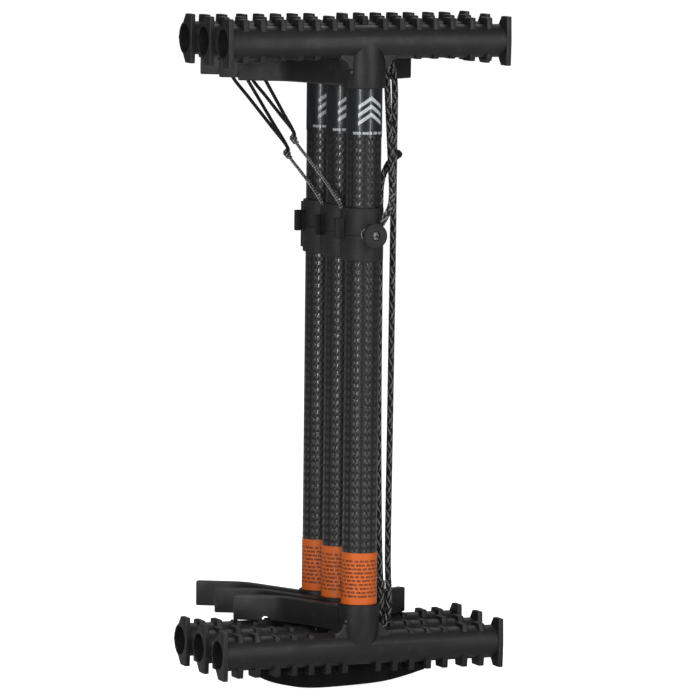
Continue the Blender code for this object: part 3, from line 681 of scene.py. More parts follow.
def webbing_finish():
    """Flat woven webbing. Its UV map is in metres, along the strap and across it."""
    material, wires, shader = new_finish("webbing", {"Specular IOR Level": 0.2, "Sheen Weight": 0.1})
    place, parts = surface_place(wires)
    pick, end = 0.0016, 0.0012
    column = wires.math("DIVIDE", parts[1], end)
    shift = wires.times(wires.math("FLOOR", column), 0.5)
    row = wires.math("ADD", wires.math("DIVIDE", parts[0], pick), shift)
    bulge = wires.arch(row)
    rib = wires.arch(column)
    height = wires.times(bulge, rib)
    yarn = group_node(wires, "fibres", {"Vector": place, "Stretch": (800.0, 3000.0, 1.0)})
    tone = wires.times(height, yarn["Tone"])
    shadow, crown = colour((0.003,) * 3), colour((0.012,) * 3)
    wires.feed(shader.inputs["Base Color"], wires.blend(tone, shadow, crown))
    wires.feed(shader.inputs["Roughness"], wires.spread(yarn["Tone"], 0, 1, 0.9, 0.7))
    woven = wires.math("ADD", height, wires.times(yarn["Height"], 0.2))
    add_bump(wires, shader, woven, strength=0.8, distance=0.0004)
    return material


def metal_finish(name, base, roughness):
    """Turned steel with fine brushing and a little grime."""
    material, wires, shader = new_finish(name, {"Metallic": 1.0})
    place = object_place(wires)
    brushed = wires.noise(wires.vector("MULTIPLY", place, (300.0, 300.0, 6000.0)), 1.0, 2.0)
    grime = wires.spread(wires.noise(place, 900.0, 3.0), 0.45, 0.70)
    dull = colour([value * 0.35 for value in base])
    wires.feed(shader.inputs["Base Color"], wires.blend(grime, colour(base), dull))
    rough = wires.spread(brushed, 0.3, 0.7, roughness - 0.08, roughness + 0.15)
    wires.feed(shader.inputs["Roughness"], rough)
    add_bump(wires, shader, brushed, strength=0.15, distance=0.0001)
    return material


FINISHES = {}


def finish(name):
    """A finish by name, made when it is first asked for."""
    if name in FINISHES:
        return FINISHES[name]
    scene = bpy.context.scene
    moulding, rope = scene.stick_moulding, scene.stick_rope
    plastic, rubbed = moulding.colour, moulding.edge_colour
    makers = {
        "moulding": lambda: moulded_finish("moulded_black", plastic, rubbed, roughness=0.47),
        "edge": lambda: moulded_finish("rubbed_edge", rubbed, rubbed, roughness=0.40),
        "printed": lambda: layered_finish("printed_black", (0.0105, 0.0105, 0.0105)),
        "rubber": lambda: moulded_finish("soft_rubber", (0.010,) * 3, (0.026,) * 3, 0.66, grain_size=2400.0),
        "carbon": lambda: carbon_finish(scene.stick_tube),
        "dark_label": lambda: dark_label_finish(scene.stick_label),
        "bright_label": lambda: bright_label_finish(scene.stick_label),
        "rope": lambda: strand_finish("flecked_rope", rope.dark_colour, rope.pale_colour),
        "cord": lambda: strand_finish("pale_cord", (0.020, 0.020, 0.019), (0.50, 0.49, 0.46)),
        "elastic": lambda: strand_finish("black_elastic", (0.0075,) * 3, (0.012,) * 3),
        "webbing": webbing_finish,
        "steel": lambda: metal_finish("plain_steel", (0.30, 0.30, 0.31), roughness=0.30),
        "screw": lambda: metal_finish("blackened_steel", (0.060, 0.060, 0.062), roughness=0.26),
    }
    FINISHES[name] = makers[name]()
    return FINISHES[name]


def shape_tree(name, inputs, fill):
    """A Geometry Nodes tree with named inputs, which ends in Realize Instances and Set Material."""
    tree = bpy.data.node_groups.new(name, "GeometryNodeTree")
    tree.is_modifier = True
    tree.interface.new_socket("Geometry", in_out="INPUT", socket_type="NodeSocketGeometry")
    for label, kind in inputs.items():
        tree.interface.new_socket(label, in_out="INPUT", socket_type=f"NodeSocket{kind}")
    tree.interface.new_socket("Material", in_out="INPUT", socket_type="NodeSocketMaterial")
    tree.interface.new_socket("Geometry", in_out="OUTPUT", socket_type="NodeSocketGeometry")
    wires = Wires(tree)
    given = wires.node("NodeGroupInput").outputs
    shape = fill(wires, given)
    real = wires.make("GeometryNodeRealizeInstances", {"Geometry": shape}).outputs[0]
    painted = wires.make("GeometryNodeSetMaterial", {"Geometry": real, "Material": given["Material"]})
    wires.feed(wires.node("NodeGroupOutput").inputs[0], painted.outputs[0])
    return tree


def braid(wires, given):
    """Strands wound both ways about a path, each over and then under the ones that it crosses."""
    path = wires.make("GeometryNodeMeshToCurve", {"Mesh": given["Geometry"]}).outputs[0]
    evened = wires.make(
        "GeometryNodeResampleCurve", {"Curve": path, "Length": given["Crossing"]}, mode="LENGTH"
    ).outputs[0]
    kept = wires.node("GeometryNodeCaptureAttribute", domain="POINT")
    kept.capture_items.new("INT", "Step")
    kept.capture_items.new("VECTOR", "Side")
    kept.capture_items.new("VECTOR", "Ahead")
    wires.feed(kept.inputs["Geometry"], evened)
    wires.feed(kept.inputs["Step"], wires.node("GeometryNodeInputIndex").outputs[0])
    wires.feed(kept.inputs["Side"], wires.node("GeometryNodeInputNormal").outputs[0])
    wires.feed(kept.inputs["Ahead"], wires.node("GeometryNodeInputTangent").outputs[0])
    amount = wires.times(given["Strands"], 2.0)
    copies = wires.make(
        "GeometryNodeDuplicateElements", {"Geometry": kept.outputs["Geometry"], "Amount": amount},
        domain="SPLINE",
    )
    number = copies.outputs["Duplicate Index"]
    step = kept.outputs["Step"]
    hand = wires.math("SUBTRACT", 1.0, wires.times(wires.math("FLOORED_MODULO", number, 2.0), 2.0))
    place = wires.math("FLOOR", wires.math("DIVIDE", number, 2.0))
    turns = wires.math("DIVIDE", math.tau, given["Strands"])
    start = wires.times(place, turns)
    twist = wires.times(wires.times(step, 0.5), turns)
    angle = wires.math("ADD", start, wires.times(twist, hand))
    over = wires.math("SUBTRACT", 1.0, wires.times(wires.math("FLOORED_MODULO", step, 2.0), 2.0))
    lift = wires.times(wires.times(over, hand), given["Lift"])
    radius = wires.math("ADD", given["Radius"], lift)
    side = kept.outputs["Side"]
    other = wires.vector("CROSS_PRODUCT", kept.outputs["Ahead"], side)
    outward = wires.vector(
        "ADD", wires.scaled(side, wires.math("COSINE", angle)), wires.scaled(other, wires.math("SINE", angle))
    )
    wound = wires.make(
        "GeometryNodeSetPosition", {"Geometry": copies.outputs[0], "Offset": wires.scaled(outward, radius)}
    ).outputs[0]
    faced = wires.make(
        "GeometryNodeSetCurveNormal", {"Curve": wound, "Normal": outward}, mode="FREE"
    ).outputs[0]
    pale = wires.math("COMPARE", wires.math("FLOORED_MODULO", number, given["Fleck Every"]), 0.0, 0.1)
    marked = wires.make(
        "GeometryNodeStoreNamedAttribute", {"Geometry": faced, "Name": "pale_strand", "Value": pale},
        data_type="FLOAT", domain="CURVE",
    ).outputs[0]
    round_yarn = wires.make("GeometryNodeCurvePrimitiveCircle", {"Resolution": 5, "Radius": 1.0}).outputs[0]
    flat = wires.make(
        "ShaderNodeCombineXYZ", {0: given["Half Thickness"], 1: given["Half Width"], 2: 1.0}
    ).outputs[0]
    yarn = wires.make("GeometryNodeTransform", {"Geometry": round_yarn, "Scale": flat}).outputs[0]
    body = wires.make(
        "GeometryNodeCurveToMesh", {"Curve": marked, "Profile Curve": yarn, "Fill Caps": True}
    ).outputs[0]
    return wires.make("GeometryNodeSetShadeSmooth", {"Geometry": body}).outputs[0]


def rib_row(wires, given):
    """Copies of one rib along both halves of a bar: a pair at each end, a wider gap, then the rest."""
    number = wires.node("GeometryNodeInputIndex").outputs[0]
    past_pair = wires.math("GREATER_THAN", number, wires.math("SUBTRACT", given["Pair"], 0.5))
    gap = wires.times(past_pair, given["Extra Gap"])
    run = wires.math("ADD", wires.times(number, given["Pitch"]), gap)
    place = wires.math("SUBTRACT", given["Start"], run)
    spot = wires.make("ShaderNodeCombineXYZ", {0: place}).outputs[0]
    half = wires.make("GeometryNodePoints", {"Count": given["Count"], "Position": spot}).outputs[0]
    other = wires.make("GeometryNodeTransform", {"Geometry": half, "Scale": (-1.0, 1.0, 1.0)}).outputs[0]
    both = wires.node("GeometryNodeJoinGeometry")
    wires.feed(both.inputs[0], half)
    wires.feed(both.inputs[0], other)
    return wires.make(
        "GeometryNodeInstanceOnPoints", {"Points": both.outputs[0], "Instance": given["Geometry"]}
    ).outputs[0]


TREES = {}


def tree(name):
    if not TREES:
        sizes = ("Crossing", "Radius", "Lift", "Half Thickness", "Half Width")
        TREES["braid"] = shape_tree(
            "braid", {"Strands": "Int", "Fleck Every": "Int", **dict.fromkeys(sizes, "Float")}, braid
        )
        steps = {"Count": "Int", "Pair": "Int", **dict.fromkeys(("Start", "Pitch", "Extra Gap"), "Float")}
        TREES["rib row"] = shape_tree("rib row", steps, rib_row)
    return TREES[name]


def grown(mesh, name, inputs):
    """The plain mesh that a tree makes from a mesh. Its inputs are set by identifier."""
    obj = bpy.data.objects.new(mesh.name, mesh)
    bpy.context.scene.collection.objects.link(obj)
    modifier = obj.modifiers.new(name, "NODES")
    modifier.node_group = tree(name)
    for item in modifier.node_group.interface.items_tree:
        if item.name in inputs:
            modifier[item.identifier] = inputs[item.name]
    return applied(obj)


# ---------------------------------------------------------------- shapes


def applied(obj):
    """The evaluated mesh of an object, which is then removed."""
    bpy.context.view_layer.update()
    graph = bpy.context.evaluated_depsgraph_get()
    mesh = bpy.data.meshes.new_from_object(obj.evaluated_get(graph))
    mesh.name = obj.name
    bpy.data.objects.remove(obj, do_unlink=True)
    return mesh


def mesh_of(name, build):
    mesh = bpy.data.meshes.new(name)
    shape = bmesh.new()
    build(shape)
    shape.to_mesh(mesh)
    shape.free()
    return mesh


def edited(mesh, change):
    """The same mesh after a function has changed it as a bmesh."""
    shape = bmesh.new()
    shape.from_mesh(mesh)
    change(shape)
    shape.to_mesh(mesh)
    shape.free()
    return mesh


TURNS = {
    "X": Matrix.Rotation(math.pi / 2, 4, "Y"),
    "Y": Matrix.Rotation(-math.pi / 2, 4, "X"),
    "Z": Matrix.Identity(4),
}
PLANES = {
    "XY": Matrix.Identity(4),
    "YZ": Matrix(((0, 0, 1, 0), (1, 0, 0, 0), (0, 1, 0, 0), (0, 0, 0, 1))),
    "XZ": Matrix(((1, 0, 0, 0), (0, 0, 1, 0), (0, 1, 0, 0), (0, 0, 0, 1))),
}


def cylinder(radius, low, high, axis="Z", sides=64):
    """A cylinder along an axis, between two places on it."""

    def build(shape):
        bmesh.ops.create_cone(
            shape, cap_ends=True, segments=sides, radius1=radius, radius2=radius, depth=high - low,
            matrix=TURNS[axis] @ Matrix.Translation((0, 0, (low + high) / 2)),
        )

    return mesh_of("cylinder", build)


def box(low, high):
    def build(shape):
        size = [b - a for a, b in zip(low, high)]
        middle = [(a + b) / 2 for a, b in zip(low, high)]
        place = Matrix.Translation(middle) @ Matrix.Diagonal((*size, 1.0))
        bmesh.ops.create_cube(shape, size=1.0, matrix=place)

    return mesh_of("box", build)


def arc(centre, radius, start, end, steps=4):
    """Points on an arc between two angles in degrees."""
    points = []
    for i in range(steps + 1):
        turn = math.radians(start + (end - start) * i / steps)
        points.append((centre[0] + radius * math.cos(turn), centre[1] + radius * math.sin(turn)))
    return points


def turned(profile, sides=64):
    """A closed (radius, height) outline turned about Z."""

    def build(shape):
        points = [shape.verts.new((radius, 0, height)) for radius, height in profile]
        edges = [shape.edges.new((a, b)) for a, b in zip(points, points[1:] + points[:1])]
        bmesh.ops.spin(
            shape, geom=points + edges, axis=(0, 0, 1), cent=(0, 0, 0), angle=math.tau, steps=sides,
            use_merge=True,
        )
        bmesh.ops.remove_doubles(shape, verts=shape.verts, dist=1e-6)
        bmesh.ops.recalc_face_normals(shape, faces=shape.faces)

    return mesh_of("turned", build)


def extruded(outline, low, high, plane="XY"):
    """A flat closed outline made solid between two places on the axis normal to its plane."""

    def build(shape):
        face = shape.faces.new([shape.verts.new((u, v, low)) for u, v in outline])
        made = bmesh.ops.extrude_face_region(shape, geom=[face])
        moved = [item for item in made["geom"] if isinstance(item, bmesh.types.BMVert)]
        bmesh.ops.translate(shape, verts=moved, vec=(0, 0, high - low))
        bmesh.ops.transform(shape, matrix=PLANES[plane], verts=shape.verts)
        bmesh.ops.recalc_face_normals(shape, faces=shape.faces)

    return mesh_of("extruded", build)


def rounded(mesh, width, segments=3, sharp=30):
    """The mesh with its sharp edges rounded. The new faces take the second finish."""

    def change(shape):
        bend = math.radians(sharp)
        edges = [e for e in shape.edges if len(e.link_faces) == 2 and e.calc_face_angle(0) > bend]
        bmesh.ops.bevel(
            shape, geom=edges, offset=width, offset_type="OFFSET", segments=segments, profile=0.5,
            affect="EDGES", clamp_overlap=True, material=1,
        )
        bmesh.ops.remove_doubles(shape, verts=shape.verts, dist=1e-7)

    return edited(two_finishes(mesh), change)


def two_finishes(mesh, names=("moulding", "edge")):
    while len(mesh.materials) < 2:
        mesh.materials.append(finish(names[len(mesh.materials)]))
    return mesh


def combined(base, joined=(), cut=()):
    """One mesh: the base with some meshes joined to it and others then cut from it."""
    scene = bpy.context.scene
    obj = bpy.data.objects.new("combined", two_finishes(base))
    scene.collection.objects.link(obj)
    helpers = []
    for operation, meshes in (("UNION", joined), ("DIFFERENCE", cut)):
        for mesh in meshes:
            helper = bpy.data.objects.new("helper", two_finishes(mesh))
            scene.collection.objects.link(helper)
            helpers.append(helper)
            boolean = obj.modifiers.new("joint", "BOOLEAN")
            boolean.operation = operation
            boolean.object = helper
    mesh = applied(obj)
    for helper in helpers:
        bpy.data.objects.remove(helper, do_unlink=True)
    return mesh


def mirrored(mesh, axis):
    """A copy of a mesh mirrored across the plane normal to an axis, with its faces still pointing out."""
    copy = mesh.copy()
    scale = [1.0, 1.0, 1.0]
    scale["XYZ".index(axis)] = -1.0
    copy.transform(Matrix.Diagonal((*scale, 1.0)))
    copy.flip_normals()
    return copy


def smooth(mesh, sharp=38):
    mesh.shade_smooth()
    mesh.set_sharp_from_angle(angle=math.radians(sharp))
    return mesh


def rounded_bend(start, corner, end, radius, steps=12):
    """Points of a path from start to end, with a quadratic curve in place of the corner."""
    start, corner, end = Vector(start), Vector(corner), Vector(end)
    before = corner + (start - corner).normalized() * radius
    after = corner + (end - corner).normalized() * radius
    bend = []
    for i in range(steps + 1):
        t = i / steps
        bend.append(before * (1 - t) ** 2 + corner * 2 * t * (1 - t) + after * t**2)
    return [start, *bend, end]


def strip_outline(path, width):
    """The closed outline of a strip of one width along a flat path."""
    left, right = [], []
    for i, point in enumerate(path):
        ahead = path[min(i + 1, len(path) - 1)] - path[max(i - 1, 0)]
        side = Vector((-ahead.y, ahead.x)).normalized() * width / 2
        left.append(tuple(point + side))
        right.append(tuple(point - side))
    return left + right[::-1]


def smooth_route(points, steps):
    """Points on a smooth curve through the route's own points."""
    ends = [points[0] * 2 - points[1], *points, points[-1] * 2 - points[-2]]
    route = []
    for before, start, end, after in zip(ends, ends[1:], ends[2:], ends[3:]):
        for i in range(steps):
            t = i / steps
            bend = (2 * before - 5 * start + 4 * end - after) * t**2
            swing = (3 * start - before - 3 * end + after) * t**3
            route.append(0.5 * (2 * start + (end - before) * t + bend + swing))
    route.append(points[-1])
    return route


def wrap_uv(mesh):
    """A UV map in metres: round the tube from its front, and up it."""
    layer = mesh.uv_layers.new(name="UVMap")
    for face in mesh.polygons:
        home = math.atan2(face.center.x, -face.center.y)
        for corner in face.loop_indices:
            place = mesh.vertices[mesh.loops[corner].vertex_index].co
            turn = math.atan2(place.x, -place.y)
            turn += math.tau * round((home - turn) / math.tau)
            layer.data[corner].uv = (turn * TUBE_R, place.z)
    return mesh


def placed(mesh, stick, height):
    """A copy of a mesh moved from its own centre to a height on a stick's axis."""
    copy = mesh.copy()
    copy.transform(Matrix.Translation((0, AXIS_Y[stick], MIDDLE + height)))
    return copy


def in_place(point):
    """A route's point, in metres, in the finished pack."""
    return Vector(point) / 1000 + Vector((0, AXIS_Y["middle"], MIDDLE))


def add_piece(name, mesh, body, slot, *nodes):
    """A finished piece in place of some CAD nodes, riding on their body."""
    piece = bpy.data.objects.new(name, mesh)
    bpy.context.scene.collection.objects.link(piece)
    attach(piece, body)
    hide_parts(*nodes)
    return piece


def add_to_stick(stick, name, mesh, height, slot, node, bodies=BODIES):
    """A piece that each stick has, at a height on its axis, in place of one of its CAD nodes."""
    add_piece(f"{stick}_{name}", placed(mesh, stick, height), bodies[stick], slot, f"{stick}_{node}")


def painted(mesh, name):
    mesh.materials.clear()
    mesh.materials.append(finish(name))
    return mesh


# ---------------------------------------------------------------- steps


def rib(top, side, rounding):
    """One rib at the middle of the bar: a trapezium in YZ. Side is +1 outboard and -1 inboard."""
    half = RIB_DEPTH / 2
    root = BAR_OD / 4
    outline = [
        (RIB_OFFSET - half - RIB_SLOPE, side * root),
        (RIB_OFFSET - half, side * top),
        (RIB_OFFSET + half, side * top),
        (RIB_OFFSET + half + RIB_SLOPE, side * root),
    ]
    return rounded(extruded(outline, -RIB_WIDTH / 2, RIB_WIDTH / 2, "YZ"), rounding)


def ribs(top, side, first, count, rounding):
    """A row of equal ribs along the bar, from the first to the last of its pattern's places."""
    sizes = {
        "Count": count,
        "Pair": OUTER_PAIR - first,
        "Start": STEP_WIDTH / 2 - RIB_INSET - rib_run(first),
        "Pitch": RIB_PITCH,
        "Extra Gap": RIB_JUMP - RIB_PITCH if first < OUTER_PAIR else 0.0,
        "Material": finish("moulding"),
    }
    return grown(rib(top, side, rounding), "rib row", sizes)


def rib_run(number):
    """How far a rib is from the outermost one."""
    return number * RIB_PITCH + (RIB_JUMP - RIB_PITCH if number >= OUTER_PAIR else 0)


def end_flange(side, rounding):
    outline = [
        (CROWN_FRONT, FLANGE_HEIGHT / 2),
        (-FLANGE_DEPTH / 2, 0),
        (CROWN_FRONT, -FLANGE_HEIGHT / 2),
        (CROWN_BACK, -FLANGE_HEIGHT / 2),
        (FLANGE_DEPTH / 2, 0),
        (CROWN_BACK, FLANGE_HEIGHT / 2),
    ]
    outer = side * STEP_WIDTH / 2
    inner = side * (STEP_WIDTH / 2 - FLANGE_THICKNESS)
    return rounded(extruded(outline, min(outer, inner), max(outer, inner), "YZ"), rounding)


def socket_body(rounding=0.0008):
    """The socket's outside: a cylinder that tapers, inside the bar, to a crest just above its axis."""
    radius = SOCKET_OD / 2
    shoulder = -BAR_OD / 2 - SOCKET_TAPER_START
    mouth = arc((radius - rounding, -SOCKET_REACH + rounding), rounding, 0, -90)
    crest = (BAR_OD / 2 - 2 * CLEARANCE, SOCKET_CREST)
    return turned([(0, SOCKET_CREST), crest, (radius, shoulder), *mouth, (0, -SOCKET_REACH)])


def socket_fillets(steps=12):
    """The hollow curves between the socket and the bar, as one plate in XZ."""
    socket = SOCKET_OD / 2
    skirt = BAR_OD / 2
    right = [(socket + SOCKET_FILLET, -skirt / 2)]
    for i in range(1, steps):
        turn = math.pi / 2 * i / steps
        across = socket + SOCKET_FILLET * (1 - math.sin(turn))
        right.append((across, -skirt - SOCKET_FILLET * (1 - math.cos(turn))))
    right.append((socket - CLEARANCE, -skirt - SOCKET_FILLET))
    left = [(-x, z) for x, z in reversed(right)]
    plate = extruded(right + left, -FILLET_DEPTH / 2, FILLET_DEPTH / 2, "XZ")
    return rounded(plate, width=0.0030, segments=4, sharp=60)


def arm(rounding):
    """The right arm, as a band that hangs inboard of the bar."""
    path = rounded_bend(ARM_ROOT, ARM_KNEE, ARM_TIP, ARM_KNEE_ROUNDING)
    band = extruded(strip_outline(path, ARM_THICKNESS), -ARM_TOP - ARM_HEIGHT, -ARM_TOP)
    return rounded(band, rounding)


def arm_web(rounding):
    """The deeper root of an arm, which carries it onto the bar."""
    root = Vector(ARM_ROOT)
    ahead = (Vector(ARM_KNEE) - root).normalized()
    outline = strip_outline([root, root + ahead * ARM_WEB_REACH], ARM_THICKNESS - CLEARANCE)
    return rounded(extruded(outline, -ARM_TOP - ARM_HEIGHT / 2, -ARM_WEB_TOP), rounding)


def arm_notch():
    """A cutter for the cord notch in the bar-side edge of the right arm."""
    knee = Vector(ARM_KNEE)
    ahead = (Vector(ARM_TIP) - knee).normalized()
    spot = knee + ahead * NOTCH_FROM_KNEE
    notch = cylinder(NOTCH_RADIUS, -ARM_THICKNESS, ARM_THICKNESS, "Y", HOLE_SIDES)
    turn = Matrix.Rotation(math.atan2(ahead.y, ahead.x), 4, "Z")
    notch.transform(Matrix.Translation((spot.x, spot.y, -ARM_TOP)) @ turn)
    return notch


def pin_shape(radius, low, high, rounding=0.0):
    """A round pin or hole along the pin's line, between two distances from the tube's axis."""
    pin = cylinder(radius, low, high, sides=PIN_SIDES)
    if rounding:
        pin = rounded(pin, rounding, 2)
    ahead = Vector((-math.sin(PIN_TURN), -math.cos(PIN_TURN), 0))
    pin.transform(Vector((0, 0, 1)).rotation_difference(ahead).to_matrix().to_4x4())
    return pin


def step_shape(settings):
    """An upper step about its bar's axis, with its socket and arms on the -Z side."""
    half = STEP_WIDTH / 2 - CLEARANCE
    bar = cylinder(BAR_OD / 2, -half, half, "X")
    edge = settings.rib_rounding
    joined = [
        ribs(OUTBOARD_TOP, 1, 0, OUTBOARD_RIBS, edge),
        ribs(TALL_TOP, -1, 0, OUTER_PAIR, edge),
        ribs(SHORT_TOP, -1, OUTER_PAIR, INBOARD_RIBS - OUTER_PAIR, edge),
        end_flange(1, settings.flange_rounding),
        end_flange(-1, settings.flange_rounding),
        socket_body(),
        socket_fillets(),
    ]
    for piece in (arm(settings.arm_rounding), arm_web(settings.arm_rounding)):
        joined += [piece, mirrored(piece, "X")]
    hole = pin_shape(PIN_OD / 2 + CLEARANCE, 0, SOCKET_OD)
    hole.transform(Matrix.Translation((0, 0, PIN_LIFT - SOCKET_REACH)))
    notch = arm_notch()
    cut = [
        cylinder(BAR_BORE / 2, -STEP_WIDTH, STEP_WIDTH, "X"),
        cylinder(TUBE_R + CLEARANCE, -2 * SOCKET_REACH, -BAR_BORE / 2 - BORE_FLOOR),
        hole,
        notch,
        mirrored(notch, "X"),
    ]
    return smooth(combined(bar, joined, cut))


# ---------------------------------------------------------------- tube, labels and small parts


def tube_shape(wall=0.0020):
    end = BAR_LIFT - BAR_BORE / 2 - BORE_FLOOR - CLEARANCE
    inner = TUBE_R - wall
    return smooth(wrap_uv(turned([(TUBE_R, end), (TUBE_R, -end), (inner, -end), (inner, end)], TUBE_SIDES)))


def label_shape(height):
    inner = TUBE_R + LABEL_GAP
    outer = inner + LABEL_THICKNESS
    half = height / 2
    return smooth(wrap_uv(turned([(outer, half), (outer, -half), (inner, -half), (inner, half)], TUBE_SIDES)))


def collar_shape(lip=0.0009, seam=0.0005, seam_height=-0.0006):
    """The sleeve that carries the button, with a parting seam and a window for the next stick's button."""
    inner = TUBE_R + CLEARANCE
    outer = inner + COLLAR_WALL
    half = COLLAR_HEIGHT / 2
    profile = [
        (0, half),
        *arc((outer - lip, half - lip), lip, 90, 0),
        (outer, seam_height + seam),
        (outer - seam, seam_height),
        (outer, seam_height - seam),
        *arc((outer - lip, -half + lip), lip, 0, -90),
        (0, -half),
    ]
    sleeve = turned(profile)
    boss = rounded(cylinder(BOSS_OD / 2, -BOSS_FACE, 0, "Y", BOSS_SIDES), lip / 2)
    low = (-BLOCK_WIDTH / 2, 0, -BLOCK_HEIGHT / 2)
    high = (BLOCK_WIDTH / 2, BLOCK_REACH, BLOCK_HEIGHT / 2)
    block = rounded(box(low, high), lip * 0.7)
    side = CLEAT_WEB / 2 + CLEARANCE
    end = CLEAT_HEIGHT / 2 + CLEARANCE
    seat_low = (-CLEAT_REACH, -side, CLEAT_LIFT - end)
    seat_high = (-CLEAT_SEAT + CLEARANCE, side, CLEAT_LIFT + end)
    cut = [
        cylinder(inner, -COLLAR_HEIGHT, COLLAR_HEIGHT, sides=TUBE_SIDES),
        cylinder(BUTTON_OD / 2 + 2 * CLEARANCE, 0, BLOCK_REACH * 2, "Y"),
        cylinder(SCREW_OD / 2 + CLEARANCE, -BLOCK_REACH * 2, 0, "Y", HOLE_SIDES),
        box(seat_low, seat_high),
    ]
    return smooth(combined(sleeve, [boss, block], cut), 40)


def cleat_shape(rounding=0.0009):
    """The soft bar that stands off the collar's side on a thinner web."""
    seat = CLEAT_SEAT + CLEARANCE
    half, web = CLEAT_WIDTH / 2, CLEAT_WEB / 2
    back = CLEAT_HEAD - CLEAT_REACH
    outline = [
        (-seat, -web), (-seat, web), (back, web), (back, half),
        (-CLEAT_REACH, half), (-CLEAT_REACH, -half), (back, -half), (back, -web),
    ]
    low, high = CLEAT_LIFT - CLEAT_HEIGHT / 2, CLEAT_LIFT + CLEAT_HEIGHT / 2
    return smooth(rounded(extruded(outline, low, high), rounding, 4))


def button_shape(edge=0.0012, dish=0.0004):
    """The round button and its neck about -Y, with a counterbored hole for its screw."""
    disc = BUTTON_OD / 2
    neck = BUTTON_NECK_OD / 2
    hole = SCREW_OD / 2 + CLEARANCE
    head = SCREW_HEAD_OD / 2 + CLEARANCE
    low = BOSS_FACE + CLEARANCE
    floor = BUTTON_FACE - SCREW_HEAD - 2 * CLEARANCE
    rim = disc - edge
    profile = [
        (head, BUTTON_FACE - dish),
        (rim - 2 * dish, BUTTON_FACE - dish),
        (rim - dish, BUTTON_FACE),
        *arc((rim, BUTTON_FACE - edge), edge, 90, 0, 6),
        *arc((rim, BUTTON_BACK + edge), edge, 0, -90, 6),
        *arc((neck + edge, BUTTON_BACK - edge), edge, 90, 180, 4),
        (neck, low),
        (hole, low),
        (hole, floor),
        (head, floor),
    ]
    button = turned(profile)
    button.transform(Matrix.Rotation(math.pi / 2, 4, "X"))
    return smooth(button, 40)


def screw_shape():
    """The button's screw: a low head with a hexagon socket, and a shank into the collar's boss."""
    face = BUTTON_FACE - CLEARANCE
    under = face - SCREW_HEAD
    head = rounded(cylinder(SCREW_HEAD_OD / 2, -face, -under, "Y", BOSS_SIDES), FINE_ROUNDING)
    shank = cylinder(SCREW_OD / 2, -under - SCREW_HEAD / 2, -TUBE_R - 2 * CLEARANCE, "Y", HOLE_SIDES)
    key = cylinder(SCREW_HEX / math.sqrt(3), -face - SCREW_HEAD, -under - 2 * CLEARANCE, "Y", 6)
    return smooth(combined(head, [shank], [key]))


def strap_section(across=10):
    """The strap's closed cross-section in YZ, on its edge, with broken corners."""
    half = STRAP_THICKNESS / 2
    lip = half * 0.55
    top = STRAP_WIDTH
    walls = [(half, lip + (top - 2 * lip) * i / across) for i in range(1, across)]
    lower = [(-half, lip), (-lip, 0), (lip, 0), (half, lip)]
    upper = [(half, top - lip), (lip, top), (-lip, top), (-half, top - lip)]
    return [*lower, *walls, *upper, *[(-y, z) for y, z in reversed(walls)]]


def strap_sway(run):
    """How far the strap sways to the side at a distance along it."""
    return 0.0022 * math.sin(run * 38.0) + 0.0008 * math.sin(run * 95.0)


def strap_shape(steps=96):
    """The stowed strap on its edge: its lower edge sags in a long curve, and it sways a little."""
    edge_points = [Vector((x / 1000, 0, z / 1000)) for x, z in STRAP_EDGE]
    edge = smooth_route(edge_points, steps // (len(STRAP_EDGE) - 1))
    centre_y = (AXIS_Y["front"] + AXIS_Y["middle"]) / 2
    section = strap_section()
    count = len(section)

    def build(shape):
        layer = shape.loops.layers.uv.new("UVMap")
        rings = []
        runs = []
        run = 0.0
        for i, place in enumerate(edge):
            run += (place - edge[i - 1]).length if i else 0.0
            runs.append(run)
            side = centre_y + strap_sway(run)
            rings.append([shape.verts.new((place.x, side + y, place.z + z)) for y, z in section])
        for i, (first, second) in enumerate(zip(rings, rings[1:])):
            for k in range(count):
                after = (k + 1) % count
                face = shape.faces.new((first[k], first[after], second[after], second[k]))
                face.smooth = True
                low, high = section[k][1], section[after][1]
                places = ((runs[i], low), (runs[i], high), (runs[i + 1], high), (runs[i + 1], low))
                for corner, place in zip(face.loops, places):
                    corner[layer].uv = place
        shape.faces.new(rings[0])
        shape.faces.new(rings[-1])
        bmesh.ops.recalc_face_normals(shape, faces=shape.faces)

    return mesh_of("strap", build)


# ---------------------------------------------------------------- rope and cords


def line_mesh(points):
    mesh = bpy.data.meshes.new("route")
    mesh.from_pydata(points, [(i, i + 1) for i in range(len(points) - 1)], [])
    return mesh


def braided(points, diameter, strands, crossing, fleck_every, finish_name):
    """A braided cord along some points. Its strands nearly fill its surface."""
    flatness, weave_depth, fill = 0.105, 0.55, 0.47
    half_thickness = diameter * flatness
    lift = half_thickness * weave_depth
    radius = diameter / 2 - half_thickness - lift
    pitch = 2 * strands * crossing
    lean = math.atan2(math.tau * radius, pitch)
    sizes = {
        "Strands": strands,
        "Fleck Every": fleck_every,
        "Crossing": crossing,
        "Radius": radius,
        "Lift": lift,
        "Half Thickness": half_thickness,
        "Half Width": math.tau * radius * math.cos(lean) / strands * fill,
        "Material": finish(finish_name),
    }
    return grown(line_mesh(points), "braid", sizes)


def ring_route(radius, steps=48):
    """A circle about Y that overlaps its own start a little."""
    points = []
    for i in range(steps + 2):
        turn = math.tau * i / steps
        points.append(Vector((radius * math.sin(turn), 0, -radius * math.cos(turn))))
    return points


